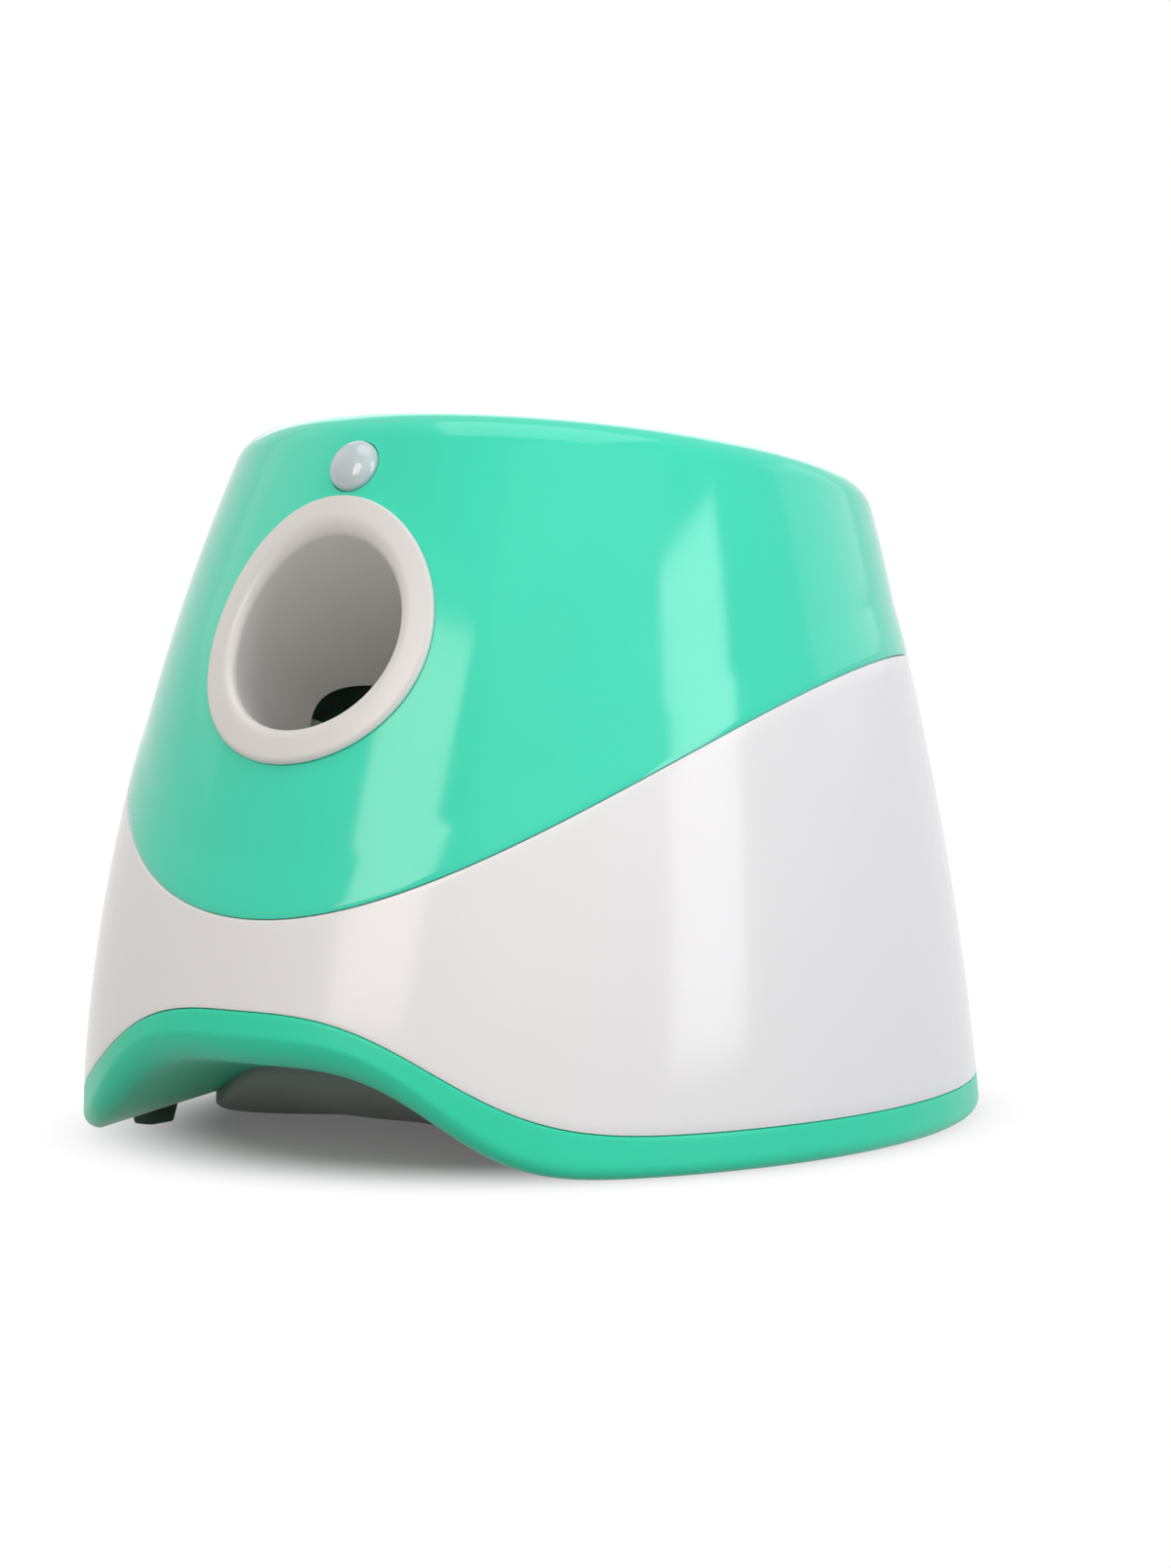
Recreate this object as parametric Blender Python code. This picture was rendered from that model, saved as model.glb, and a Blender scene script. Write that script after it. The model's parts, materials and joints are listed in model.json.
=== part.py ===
"""Automatic ball launcher for dogs, modelled as the separate pieces it is built from.

Metres, +Z up. The origin is the middle of the footprint on the floor, the mouth looks along -Y.
Balls go into the hopper on top, drop into the launch chamber, are pushed up by the feed arm
and thrown out of the mouth by two wheels that turn against each other.
"""
import math

import bmesh
import bpy
from mathutils import Matrix, Vector

# Fits between pieces
GAP = 0.0003            # between two pieces that touch
OVERRUN = 0.002         # how far every cutter runs past what it cuts
WELD = 0.00001          # points closer than this are one point

# Ball that the launcher throws, and the clearances round it
BALL_RADIUS = 0.0254
BORE_CLEARANCE = 0.0051
TROUGH_CLEARANCE = 0.0016
THROAT_CLEARANCE = 0.0021

# Body outline: an oval that draws in towards the top. Its depth, width and height follow what it holds
SIDE_ROOM = 0.08375     # from the battery box to the side of the base
REAR_ROOM = 0.0842      # from the battery box to the rear of the base
HEAD_ROOM = 0.0030      # from the motion sensor to the top plane at the body's middle
WIDTH_DRAW = 0.037
WIDTH_CURVE_SHARE = 1.9
FRONT_REACH = 0.1638
FRONT_DRAW = 0.0655
FRONT_CURVE_SHARE = 1.64
REAR_DRAW = 0.057
REAR_CURVE_SHARE = 1.05
TOP_SLOPE_SHARE = 0.14  # the top plane falls this much from front to rear

# Casing walls and the lap joints between them
WALL = 0.0026
LIP = 0.0011            # thickness of the outer lip at a lap
LAP = 0.003             # height of the tongue that the lip covers

# Seam between the upper and lower shells: level at the rear, falling towards the front
SEAM_BELOW_MOUTH = 0.010
SEAM_LEVEL_Y = 0.0387
SEAM_FALL = 0.084
SEAM_FALL_RUN = 0.2

# Upper shell: rounded top edge that turns down inside the hopper opening
TOP_ROUND = 0.008
RIM_FLAT = 0.004
RIM_INSET = TOP_ROUND + RIM_FLAT
RIM_DROP = 0.007

# Soft crease in the upper shell, along the seam
CREASE_RISE = 0.016
CREASE_SINK = 0.0006
CREASE_LIMIT_SHARE = 0.4  # of the wall's height, where the wall is low

# Base skirt with the arch cut into its front
SKIRT_TOP = 0.0134
ARCH_BAND = 0.0164      # height of the skirt over the crown of the arch
SKIRT_RISE_ANGLE = math.radians(31.6)
SKIRT_RISE_CURVE_SHARE = 3.06
SKIRT_CLEARANCE = 0.0008
ARCH_HEIGHT = 0.0325
ARCH_HALF_ANGLE = math.radians(45)
ARCH_CURVE_SHARE = 1.35
SKIRT_ROUND = 0.009
SOFFIT_INSET = 0.042
SOFFIT_HEIGHT = 0.012
SOFFIT_ARCH_RISE = 0.015  # how much higher the soffit's inner edge is under the arch

# Floor pan inside the skirt
PAN_BOTTOM = 0.007
PAN_THICKNESS = 0.0026
PAN_RIM_RISE = 0.007     # height of the pan's rim over the soffit's inner edge
PAN_RIM_WALL = 0.0026

# Feet under the skirt
FOOT_ANGLES = {"front_right": math.radians(51), "rear_right": math.radians(130),
               "rear_left": math.radians(230), "front_left": math.radians(309)}
FOOT_INSET = 0.0215
FOOT_WIDTH = 0.010
FOOT_LENGTH = 0.016
FOOT_TAPER = 0.001
FOOT_SEAT = 0.0005       # clearance under the sloping soffit

# Case screws, their tunnels in the skirt and their bosses in the lower shell
SCREW_INSET = 0.0078
SCREW_ANGLES = [math.radians(angle) for angle in (60, 115, 245, 300)]
TUNNEL_RADIUS = 0.0055
TUNNEL_BORE_RADIUS = 0.0040
TUNNEL_TOP = SKIRT_TOP + LAP - GAP
TUNNEL_SEAT = 0.0016
SCREW_HEAD_RADIUS = 0.0034
SCREW_HEAD_HEIGHT = 0.0022
SCREW_RADIUS = 0.0014
SCREW_LENGTH = 0.016
BOSS_BOTTOM = SKIRT_TOP + LAP + 2 * GAP
BOSS_HEIGHT = 0.018
BOSS_RADIUS = 0.0045
BOSS_RINGS = 4

# Launch line: where its axis leaves the front wall, and how steeply it rises
LAUNCH_RISE = math.radians(40)

# Launch tube and its mouth ring
BORE_RADIUS = BALL_RADIUS + BORE_CLEARANCE
TUBE_WALL = 0.0025
TUBE_DEPTH = 0.050
RING_SHOULDER = 0.0040
RING_SEAT = 0.0045
RING_HOLE_RADIUS = BORE_RADIUS + TUBE_WALL + RING_SHOULDER
RING_RADIUS = RING_HOLE_RADIUS + RING_SEAT
RING_PROUD = 0.0020
RING_EDGE = 0.0012
RING_SPIGOT = 0.0045
RING_ROLL = 0.0045

# Hopper
HOPPER_WALL = 0.0022
HOPPER_SEAT = 0.003     # how far its edge sits below the top plane
THROAT_RADIUS = BALL_RADIUS + THROAT_CLEARANCE
THROAT_LENGTH = 0.039
THROAT_STANDOFF = 0.016  # from the chamber's side walls to the throat
BOWL_STRAIGHT_SHARE = 0.35
BOWL_CURVE_SHARE = 2.2

# Throwing wheels and their motors
WHEEL_RADIUS = 0.0235
WHEEL_CLEARANCE = 0.0015
WHEEL_DEPTH = TUBE_DEPTH + WHEEL_CLEARANCE + WHEEL_RADIUS
BALL_SQUEEZE = 0.0024
WHEEL_WIDTH = 0.014
TYRE_THICKNESS = 0.005
TREAD_HOLLOW = 0.0012
HUB_WEB = 0.004
HUB_BOSS_RADIUS = 0.005
SHAFT_RADIUS = 0.0015
SHAFT_FIT = 0.0002
MOTOR_RADIUS = 0.0138
MOTOR_LENGTH = 0.038
MOTOR_ROUND = 0.0015
MOTOR_NOSE_RADIUS = 0.0045
MOTOR_NOSE = 0.0022
SHAFT_SEAT = 0.006
BRACKET_SHEET = 0.002
BRACKET_CLEARANCE = 0.0035
BRACKET_MARGIN = 0.0027
BRACKET_HALF = MOTOR_RADIUS + BRACKET_MARGIN
BRACKET_LEG_LENGTH = 0.026

# Launch chamber: trough under the ball's path, side walls and back plate
TROUGH_RADIUS = BALL_RADIUS + TROUGH_CLEARANCE
TROUGH_WALL = 0.0025
TROUGH_GAP = 0.0025
TROUGH_START = TUBE_DEPTH + TROUGH_GAP
WHEEL_ROOM = 0.004
TROUGH_WIDE_FROM = WHEEL_DEPTH + WHEEL_RADIUS + WHEEL_ROOM
TROUGH_WIDEN = 0.002
TROUGH_NARROW_ARC = math.radians(62)
TROUGH_WIDE_ARC = math.radians(90)
FEED_ROOM = 0.0002
BACK_DEPTH = TROUGH_WIDE_FROM + 2 * BALL_RADIUS + FEED_ROOM
BACK_THICKNESS = 0.0025
SIDE_WALL_RISE = 0.018
EDGE_RISE = 0.0006
LEG_WIDTH = 0.004
LEG_LENGTH = 0.008
FRONT_LEG_SETBACK = 0.0175
FRONT_LEG_SHARE = 0.655  # how far out in the trough's radius the legs stand
REAR_LEG_SETBACK = 0.0135
REAR_LEG_SHARE = 0.885

# Feed arm, its sector gear and the gearmotor that drives it
ARM_SETBACK = 0.004
ARM_PIVOT_DROP = 0.045
ARM_WIDTH = 0.010
ARM_DEPTH = 0.007
ARM_HUB_RADIUS = 0.006
ARM_HEAD_RADIUS = 0.006
ARM_HEAD_RISE = 0.002
ARM_REACH = ARM_PIVOT_DROP + ARM_HEAD_RISE
ARM_SIDE_CLEARANCE = 0.002
ARM_TOP_CLEARANCE = 0.003
ARM_STROKE_ROOM = 0.0275
ARM_SLOT_WIDTH = ARM_WIDTH + 2 * ARM_SIDE_CLEARANCE
ARM_SLOT_START = BACK_DEPTH - ARM_STROKE_ROOM
ARM_SLOT_TOP = ARM_HEAD_RISE + ARM_HEAD_RADIUS + ARM_TOP_CLEARANCE
PIN_RADIUS = 0.002
GEAR_MODULE = 0.0008
SECTOR_TEETH = 40
PINION_TEETH = 14
PRESSURE_ANGLE = math.radians(20)
BACKLASH = 0.0003
ADDENDUM_SHARE = 0.9
DEDENDUM_SHARE = 1.2
SECTOR_FIRST_TOOTH = 0
SECTOR_LAST_TOOTH = 7
GEAR_WIDTH = 0.005
PINION_SHAFT_RADIUS = 0.0015
FEED_CHEEK = 0.0025
GEAR_SIDE_ROOM = 0.0032
FEED_BRACKET_INNER = ARM_WIDTH / 2 + GAP + GEAR_WIDTH + GEAR_SIDE_ROOM
FEED_BRACKET_FRONT = 0.011
FEED_BRACKET_REAR = 0.009
FEED_BRACKET_HEAD = 0.0085
GEARBOX_SIZE = (0.016, 0.024, 0.020)
GEARMOTOR_RADIUS = 0.0078
GEARMOTOR_LENGTH = 0.020

# Ball sensor: a sprung lever in the chamber's side wall that works a small switch
SENSOR_DEPTH = BACK_DEPTH - BALL_RADIUS
SENSOR_WIDTH = 0.006
SENSOR_WINDOW = 0.0095
SENSOR_PIVOT_X = 0.0360
SENSOR_PIVOT_RISE = 0.0115
SENSOR_HUB_RADIUS = 0.003
SENSOR_NOSE_X = 0.0215
SENSOR_NOSE_DROP = 0.0135
SENSOR_BLADE = 0.0024
SENSOR_HEEL_X = 0.0026
SENSOR_HEEL_DROP = 0.0045
SENSOR_PIN_RADIUS = 0.001
SENSOR_EAR = 0.0016
SENSOR_SIDE_GAP = 0.0005
SWITCH_SIZE = (0.0085, 0.0125, 0.0058)
SWITCH_PLUNGER = 0.0010
SWITCH_STANDOFF = 0.0011

# Motion sensor on the front wall
EYE_RADIUS = 0.0085
EYE_TUCK = 0.0010       # how much nearer the mouth ring it sits, because the wall leans
EYE_DOME = 0.0048
EYE_SKIN = 0.0010
EYE_FLANGE_RADIUS = 0.0099
EYE_FLANGE = 0.0014
EYE_FLANGE_SINK = 0.0012  # room for the curve of the wall in front of the flat flange
EYE_BOARD_MARGIN = 0.0015
EYE_CAN_RADIUS = 0.0045
EYE_CAN_HEIGHT = 0.0034

# Circuit boards
BOARD = 0.0016

# Push button, light pipes and power inlet in the rear wall
BUTTON_BELOW_SEAM = 0.047
BUTTON_RADIUS = 0.009
BUTTON_PROUD = 0.0016
BUTTON_ROUND = 0.0008
BUTTON_DEPTH = 0.0075
BUTTON_TRAVEL = 0.0012
BUTTON_FIT = 0.0004
BUTTON_COLLAR = 0.0016
BUTTON_SWITCH_HALF = 0.006
BUTTON_SWITCH_HEIGHT = 0.0035
BUTTON_BOARD_HALF = 0.0205
BUTTON_BOARD_UP = 0.0250
BUTTON_BOARD_DOWN = 0.0130
POST_RADIUS = 0.0026
POST_CLEARANCE = 0.0038
POST_SPREAD = BUTTON_RADIUS + BUTTON_COLLAR + POST_CLEARANCE + POST_RADIUS
LIGHT_COUNT = 3
LIGHT_RADIUS = 0.002
LIGHT_ROOM = 0.0090
LIGHT_RISE = BUTTON_RADIUS + LIGHT_ROOM
LIGHT_SPACING = 0.0110
LIGHT_PROUD = 0.0003
LIGHT_FLANGE = 0.0010
JACK_HEIGHT = 0.045
JACK_RADIUS = 0.0046
JACK_BORE_RADIUS = 0.0028
JACK_PIN_RADIUS = 0.0010
JACK_FLANGE_RADIUS = 0.0064
JACK_FLANGE = 0.0010
JACK_LENGTH = 0.0125
JACK_FLOOR = 0.0030
NUT_RADIUS = 0.0068
NUT_HEIGHT = 0.0025

# Battery box, its cells, contacts and door
CELL_RADIUS = 0.0131
CELL_LENGTH = 0.0490
CELL_ROUND = 0.0012
CELL_TIP_RADIUS = 0.0032
CELL_TIP = 0.0012
CELL_ROWS = 3
CELLS_IN_ROW = 2
CELL_CLEARANCE = 0.0006
BATTERY_SETBACK = 0.0139  # from the feed bracket to the battery box
BATTERY_WALL = 0.002
CONTACT_SHEET = 0.0008
CONTACT_SPRING = 0.0030
CONTACT_SPRING_RADIUS = 0.0055
DOOR_THICKNESS = 0.0022
DOOR_FIT = 0.0004
DOOR_SCREW_INSET = 0.006

# Main circuit board with its chips and sounder
MAIN_BOARD_INSET = 0.010  # from the battery box's sides
MAIN_BOARD_SETBACK = 0.022
STANDOFF_RADIUS = 0.0028
STANDOFF_HEIGHT = 0.005
STANDOFF_INSET = 0.004
CHIP_SIZE = (0.016, 0.016, 0.0022)
HEADER_SIZE = (0.030, 0.006, 0.007)
SOUNDER_RADIUS = 0.008
SOUNDER_HEIGHT = 0.0065

# Facet counts
BODY_FACETS = 56
BOWL_FACETS = 36
TUBE_FACETS = 36
ROUND_FACETS = 16
SMALL_FACETS = 12
TINY_FACETS = 10
FLANK_POINTS = 3
SETTLE_STEPS = 12
SEARCH_STEPS = 40
SHARP_ANGLE = math.radians(32)


# Heights and reaches that follow from what the body holds

def sector_tip_radius():
    return GEAR_MODULE * SECTOR_TEETH / 2 + ADDENDUM_SHARE * GEAR_MODULE


def mouth_height():
    """The launch line is as high as lets the sector gear turn just over the floor pan."""
    pivot_height = PAN_BOTTOM + PAN_THICKNESS + sector_tip_radius()
    along = (BACK_DEPTH + ARM_SETBACK) * math.sin(LAUNCH_RISE)
    return pivot_height + along + ARM_PIVOT_DROP * math.cos(LAUNCH_RISE)


def eye_height():
    """The motion sensor sits right above the mouth ring."""
    return mouth_height() + RING_RADIUS + EYE_RADIUS - EYE_TUCK


def body_height():
    """Height of the top plane over the body's middle."""
    return mouth_height() + RING_RADIUS + EYE_RADIUS + HEAD_ROOM


def seam_rear():
    """Height of the seam along the rear."""
    return mouth_height() - SEAM_BELOW_MOUTH


def button_height():
    return seam_rear() - BUTTON_BELOW_SEAM


def cell_space():
    """Length, depth and height inside the battery box."""
    cells_length = CELLS_IN_ROW * (CELL_LENGTH + CELL_TIP + GAP)
    length = cells_length + CONTACT_SPRING + 2 * (CONTACT_SHEET + GAP) + GAP
    depth = CELL_ROWS * 2 * CELL_RADIUS + (CELL_ROWS + 1) * CELL_CLEARANCE
    height = 2 * CELL_RADIUS + 2 * CELL_CLEARANCE
    return length, depth, height


def box_low():
    """Lower front left corner of the battery box, whose rim rests on the pan behind the feed bracket."""
    length, _, _ = cell_space()
    front = world_place(pivot_place()).y + FEED_BRACKET_REAR + BATTERY_SETBACK
    return (-length / 2 - BATTERY_WALL, front, PAN_BOTTOM + PAN_THICKNESS + GAP)


def box_high():
    length, depth, height = cell_space()
    low = box_low()
    return (-low[0], low[1] + depth + 2 * BATTERY_WALL, low[2] + height + BATTERY_WALL)


def body_half_width():
    length, _, _ = cell_space()
    return length / 2 + BATTERY_WALL + SIDE_ROOM


def rear_reach():
    return box_high()[1] + REAR_ROOM


# Helpers

def linear(channel):
    """One sRGB channel from 0 to 255 as a linear value."""
    value = channel / 255
    if value <= 0.04045:
        return value / 12.92
    return ((value + 0.055) / 1.055) ** 2.4


# Finish of each kind of piece: sRGB colour, roughness, metallic
FINISHES = {
    "shell_green": ((93, 216, 184), 0.16, 0.0),
    "base_green": ((74, 203, 162), 0.28, 0.0),
    "shell_white": ((232, 230, 232), 0.16, 0.0),
    "ring_white": ((233, 229, 224), 0.30, 0.0),
    "chamber_green": ((60, 168, 132), 0.38, 0.0),
    "base_grey": ((140, 143, 142), 0.45, 0.0),
    "rubber_green": ((34, 96, 74), 0.65, 0.0),
    "tyre_grey": ((190, 197, 188), 0.65, 0.0),
    "hub_white": ((214, 212, 208), 0.40, 0.0),
    "plastic_black": ((34, 35, 38), 0.45, 0.0),
    "steel": ((176, 178, 182), 0.32, 1.0),
    "nickel": ((196, 196, 190), 0.28, 1.0),
    "board_green": ((24, 92, 58), 0.45, 0.0),
    "lens_white": ((236, 240, 246), 0.25, 0.0),
    "button_grey": ((120, 126, 130), 0.40, 0.0),
    "light_clear": ((226, 234, 238), 0.20, 0.0),
    "cell_jacket": ((52, 56, 64), 0.35, 0.0),
}


def finish(name):
    """The material called name, made the first time it is asked for."""
    if name in bpy.data.materials:
        return bpy.data.materials[name]
    colour, roughness, metallic = FINISHES[name]
    material = bpy.data.materials.new(name)
    material.use_nodes = True
    shader = material.node_tree.nodes["Principled BSDF"]
    shader.inputs["Base Color"].default_value = [linear(channel) for channel in colour] + [1.0]
    shader.inputs["Roughness"].default_value = roughness
    shader.inputs["Metallic"].default_value = metallic
    return material


def frame_at(name, place, turn=(0, 0, 0), parent=None):
    """An empty that carries pieces."""
    empty = bpy.data.objects.new(name, None)
    bpy.context.collection.objects.link(empty)
    empty.parent = parent
    empty.location = place
    empty.rotation_euler = turn
    return empty


def solid(name, shape, material_name, parent=None, place=(0, 0, 0), turn=(0, 0, 0)):
    """An object made from a finished bmesh, which is freed."""
    bmesh.ops.remove_doubles(shape, verts=shape.verts, dist=WELD)
    bmesh.ops.recalc_face_normals(shape, faces=shape.faces)
    mesh = bpy.data.meshes.new(name)
    shape.to_mesh(mesh)
    shape.free()
    mesh.shade_smooth()
    mesh.set_sharp_from_angle(angle=SHARP_ANGLE)
    mesh.materials.append(finish(material_name))
    item = bpy.data.objects.new(name, mesh)
    bpy.context.collection.objects.link(item)
    item.parent = parent
    item.location = place
    item.rotation_euler = turn
    return item


def combine(target, operation, name, shape, parent=None, place=(0, 0, 0), turn=(0, 0, 0)):
    """Cut a shape out of target, or join it on, with a Boolean modifier."""
    tool = solid(name, shape, "steel", parent, place, turn)
    tool.hide_render = True
    tool.display_type = "WIRE"
    modifier = target.modifiers.new(name, "BOOLEAN")
    modifier.operation = operation
    modifier.solver = "EXACT"
    modifier.object = tool


def cut(target, name, shape, parent=None, place=(0, 0, 0), turn=(0, 0, 0)):
    """Remove the shape from target."""
    combine(target, "DIFFERENCE", name, shape, parent, place, turn)


def join(target, name, shape, parent=None, place=(0, 0, 0), turn=(0, 0, 0)):
    """Fuse the shape to target."""
    combine(target, "UNION", name, shape, parent, place, turn)


def turned(profile, facets, closed=False):
    """A lathe solid round Z from points (radius, height), down its outer side or closed on itself."""
    shape = bmesh.new()
    points = [shape.verts.new((radius, 0, height)) for radius, height in profile]
    edges = [shape.edges.new(pair) for pair in zip(points, points[1:])]
    if closed:
        edges.append(shape.edges.new((points[-1], points[0])))
    bmesh.ops.spin(shape, geom=points + edges, cent=(0, 0, 0), axis=(0, 0, 1),
                   angle=math.tau, steps=facets, use_merge=True, use_duplicate=False)
    bmesh.ops.remove_doubles(shape, verts=shape.verts, dist=WELD)
    return shape


def extruded(outline, low, high, axis="Z"):
    """A prism: the outline runs across the axis, from low to high along it."""
    shape = bmesh.new()
    order = {"X": lambda a, b, c: (c, a, b),
             "Y": lambda a, b, c: (a, c, b),
             "Z": lambda a, b, c: (a, b, c)}
    points = [shape.verts.new(order[axis](a, b, low)) for a, b in outline]
    face = shape.faces.new(points)
    grown = bmesh.ops.extrude_face_region(shape, geom=[face])
    moved = [item for item in grown["geom"] if isinstance(item, bmesh.types.BMVert)]
    bmesh.ops.translate(shape, verts=moved, vec=order[axis](0, 0, high - low))
    return shape


def block(low, high):
    """A box between two corners."""
    shape = bmesh.new()
    bmesh.ops.create_cube(shape, size=1)
    for vert in shape.verts:
        vert.co = Vector([(low[k] + high[k]) / 2 + vert.co[k] * (high[k] - low[k]) for k in range(3)])
    return shape


def gathered(shapes):
    """Several shapes in one bmesh, each still a body of its own."""
    whole = bmesh.new()
    for shape in shapes:
        mesh = bpy.data.meshes.new("part")
        shape.to_mesh(mesh)
        shape.free()
        whole.from_mesh(mesh)
        bpy.data.meshes.remove(mesh)
    return whole


def moved(shape, place=(0, 0, 0), turn=None):
    """The shape turned and then moved."""
    matrix = Matrix.Translation(Vector(place))
    if turn is not None:
        matrix = matrix @ turn
    bmesh.ops.transform(shape, matrix=matrix, verts=shape.verts)
    return shape


def along_x(shape):
    """A shape made round Z, laid along X."""
    return moved(shape, turn=Matrix.Rotation(math.pi / 2, 4, "Y"))


def rod(radius, low, high, facets):
    """A plain round rod along Z."""
    return turned([(0, high), (radius, high), (radius, low), (0, low)], facets)


def lofted(rings, closed=False):
    """Skin rings of points of equal count. Open ends are capped, closed joins the last to the first."""
    shape = bmesh.new()
    rows = [[shape.verts.new(point) for point in ring] for ring in rings]
    count = len(rows[0])
    pairs = list(zip(rows, rows[1:]))
    if closed:
        pairs.append((rows[-1], rows[0]))
    for first, second in pairs:
        for k in range(count):
            after = (k + 1) % count
            shape.faces.new((first[k], first[after], second[after], second[k]))
    if not closed:
        shape.faces.new(rows[0])
        shape.faces.new(rows[-1])
    return shape


# Body surface

def drawn_in(z, amount, curve_share):
    """How far an outline has drawn in at height z."""
    return amount * (max(z, 0) / body_height()) ** curve_share


def half_width(z):
    return body_half_width() - drawn_in(z, WIDTH_DRAW, WIDTH_CURVE_SHARE)


def front_y(z):
    return drawn_in(z, FRONT_DRAW, FRONT_CURVE_SHARE) - FRONT_REACH


def rear_y(z):
    return rear_reach() - drawn_in(z, REAR_DRAW, REAR_CURVE_SHARE)


def body_point(angle, z, inset):
    """Point on the body at an angle from the front, towards +X, and a height, set in by inset."""
    middle = (rear_y(z) + front_y(z)) / 2
    half_depth = (rear_y(z) - front_y(z)) / 2
    x = (half_width(z) - inset) * math.sin(angle)
    y = middle - (half_depth - inset) * math.cos(angle)
    return Vector((x, y, z))


def settled(rule, angle):
    """Height at which a rule of y is met on the body's surface."""
    z = body_height() / 2
    for _ in range(SETTLE_STEPS):
        z = rule(body_point(angle, z, 0).y)
    return z


def top_height(angle):
    return settled(lambda y: body_height() - TOP_SLOPE_SHARE * y, angle)


def seam_height(angle):
    """The seam is level at the rear and falls as a parabola towards the front."""
    def rule(y):
        return seam_rear() - SEAM_FALL * (max(SEAM_LEVEL_Y - y, 0) / SEAM_FALL_RUN) ** 2
    return settled(rule, angle)


def from_front(angle):
    """The angle from the front, between 0 and pi, on either side."""
    return abs(math.remainder(angle, math.tau))


def skirt_top(angle):
    """Upper edge of the skirt, which rises over the arch."""
    rise = ARCH_HEIGHT + ARCH_BAND - SKIRT_TOP
    return SKIRT_TOP + rise * math.exp(-(from_front(angle) / SKIRT_RISE_ANGLE) ** SKIRT_RISE_CURVE_SHARE)


def arch_share(angle):
    """One at the crown of the arch, and zero beyond its ends."""
    return max(1 - (from_front(angle) / ARCH_HALF_ANGLE) ** 2, 0) ** ARCH_CURVE_SHARE


def skirt_bottom(angle):
    """Lower edge of the skirt: just off the floor, and arched at the front."""
    return SKIRT_CLEARANCE + (ARCH_HEIGHT - SKIRT_CLEARANCE) * arch_share(angle)


def between(low, high, share):
    """A height part of the way from one rule to another."""
    return lambda angle: low(angle) + (high(angle) - low(angle)) * share


def band(stations):
    """A closed shell ring round the body. Each station is an inset, a height rule and a rise."""
    rings = []
    for inset, height, rise in stations:
        angles = [math.tau * step / BODY_FACETS for step in range(BODY_FACETS)]
        rings.append([body_point(angle, height(angle) + rise, inset) for angle in angles])
    return lofted(rings, closed=True)


# Casing shells

def lap_cover(height):
    """Underside of an outer lip and the notch behind it, from the inside out."""
    return [(WALL, height, LAP + GAP), (LIP, height, LAP + GAP), (LIP, height, GAP / 2)]


def lap_tongue(height):
    """Shoulder and tongue that the lip covers, from the outside in."""
    return [(0, height, -GAP / 2), (LIP + GAP, height, -GAP / 2),
            (LIP + GAP, height, LAP - GAP / 2), (WALL, height, LAP - GAP / 2)]


def shoulder_height(angle):
    """Where the wall ends and the top edge starts to round over."""
    return top_height(angle) - TOP_ROUND


def crease_height(angle):
    """The crease runs above the seam, and nearer to it where the wall is low."""
    seam = seam_height(angle)
    return seam + min(CREASE_RISE, (shoulder_height(angle) - seam) * CREASE_LIMIT_SHARE)


def upper_shell():
    """Green upper casing with a soft crease along the seam and the rounded rim of the hopper opening."""
    wall_shares = (0.25, 0.5, 0.75)
    inside_shares = (2 / 3, 1 / 3)
    turns = [math.radians(angle) for angle in (0, 30, 60, 90)]
    stations = [(0, seam_height, GAP / 2), (CREASE_SINK, crease_height, 0)]
    stations += [(0, between(crease_height, shoulder_height, share), 0) for share in wall_shares]
    stations += [(TOP_ROUND * (1 - math.cos(turn)), shoulder_height, TOP_ROUND * math.sin(turn))
                 for turn in turns]
    stations += [(RIM_INSET - LIP, top_height, 0), (RIM_INSET, top_height, -LIP)]
    stations += [(RIM_INSET, top_height, -RIM_DROP), (RIM_INSET - WALL, top_height, -RIM_DROP)]
    stations.append((RIM_INSET - WALL, top_height, -WALL))
    round_inside = TOP_ROUND - WALL
    stations += [(TOP_ROUND - round_inside * math.cos(turn), shoulder_height,
                  round_inside * math.sin(turn))
                 for turn in reversed(turns)]
    stations += [(WALL, between(seam_height, shoulder_height, share), 0) for share in inside_shares]
    stations += lap_cover(seam_height)
    shell = solid("upper_shell", band(stations), "shell_green")
    mouth = frame_at("mouth_frame", mouth_place(), mouth_turn())
    cut(shell, "mouth_hole", rod(RING_HOLE_RADIUS, -RING_RADIUS, RING_RADIUS, TUBE_FACETS), mouth)
    eye = frame_at("eye_hole_frame", (0, front_y(eye_height()), eye_height()),
                   outward_turn_front(eye_height()))
    cut(shell, "eye_hole", rod(EYE_RADIUS + GAP, -WALL - OVERRUN, OVERRUN, ROUND_FACETS), eye)


def mouth_place():
    return (0, front_y(mouth_height()), mouth_height())


def mouth_turn():
    """Local Z points out along the launch line, local Y up and back across it."""
    return (math.pi / 2 - LAUNCH_RISE, 0, 0)


def lean(wall_y, z):
    """Angle by which a wall leans back from upright at height z."""
    return math.atan2(wall_y(z + WALL) - wall_y(z - WALL), 2 * WALL)


def outward_turn_front(z):
    """Turn that points local Z straight out of the front wall."""
    return (math.pi / 2 - lean(front_y, z), 0, 0)


def outward_turn_rear(z):
    """Turn that points local Z straight out of the rear wall, with local Y down the wall."""
    return (-math.pi / 2 - lean(rear_y, z), 0, 0)


def screw_place(angle):
    """Axis of a case screw at floor level."""
    place = body_point(angle, TUNNEL_TOP, SCREW_INSET)
    return Vector((place.x, place.y, 0))


def screw_boss(angle):
    """Boss rooted in the shell's wall: a round post whose outer side follows the middle of the wall."""
    place = screw_place(angle)
    rings = []
    for number in range(BOSS_RINGS):
        z = BOSS_BOTTOM + BOSS_HEIGHT * number / (BOSS_RINGS - 1)
        ring = []
        for step in range(SMALL_FACETS):
            turn = math.tau * step / SMALL_FACETS
            x = place.x + BOSS_RADIUS * math.cos(turn)
            y = place.y + BOSS_RADIUS * math.sin(turn)
            ring.append(kept_inside(x, y, z))
        rings.append(ring)
    return lofted(rings)


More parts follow.
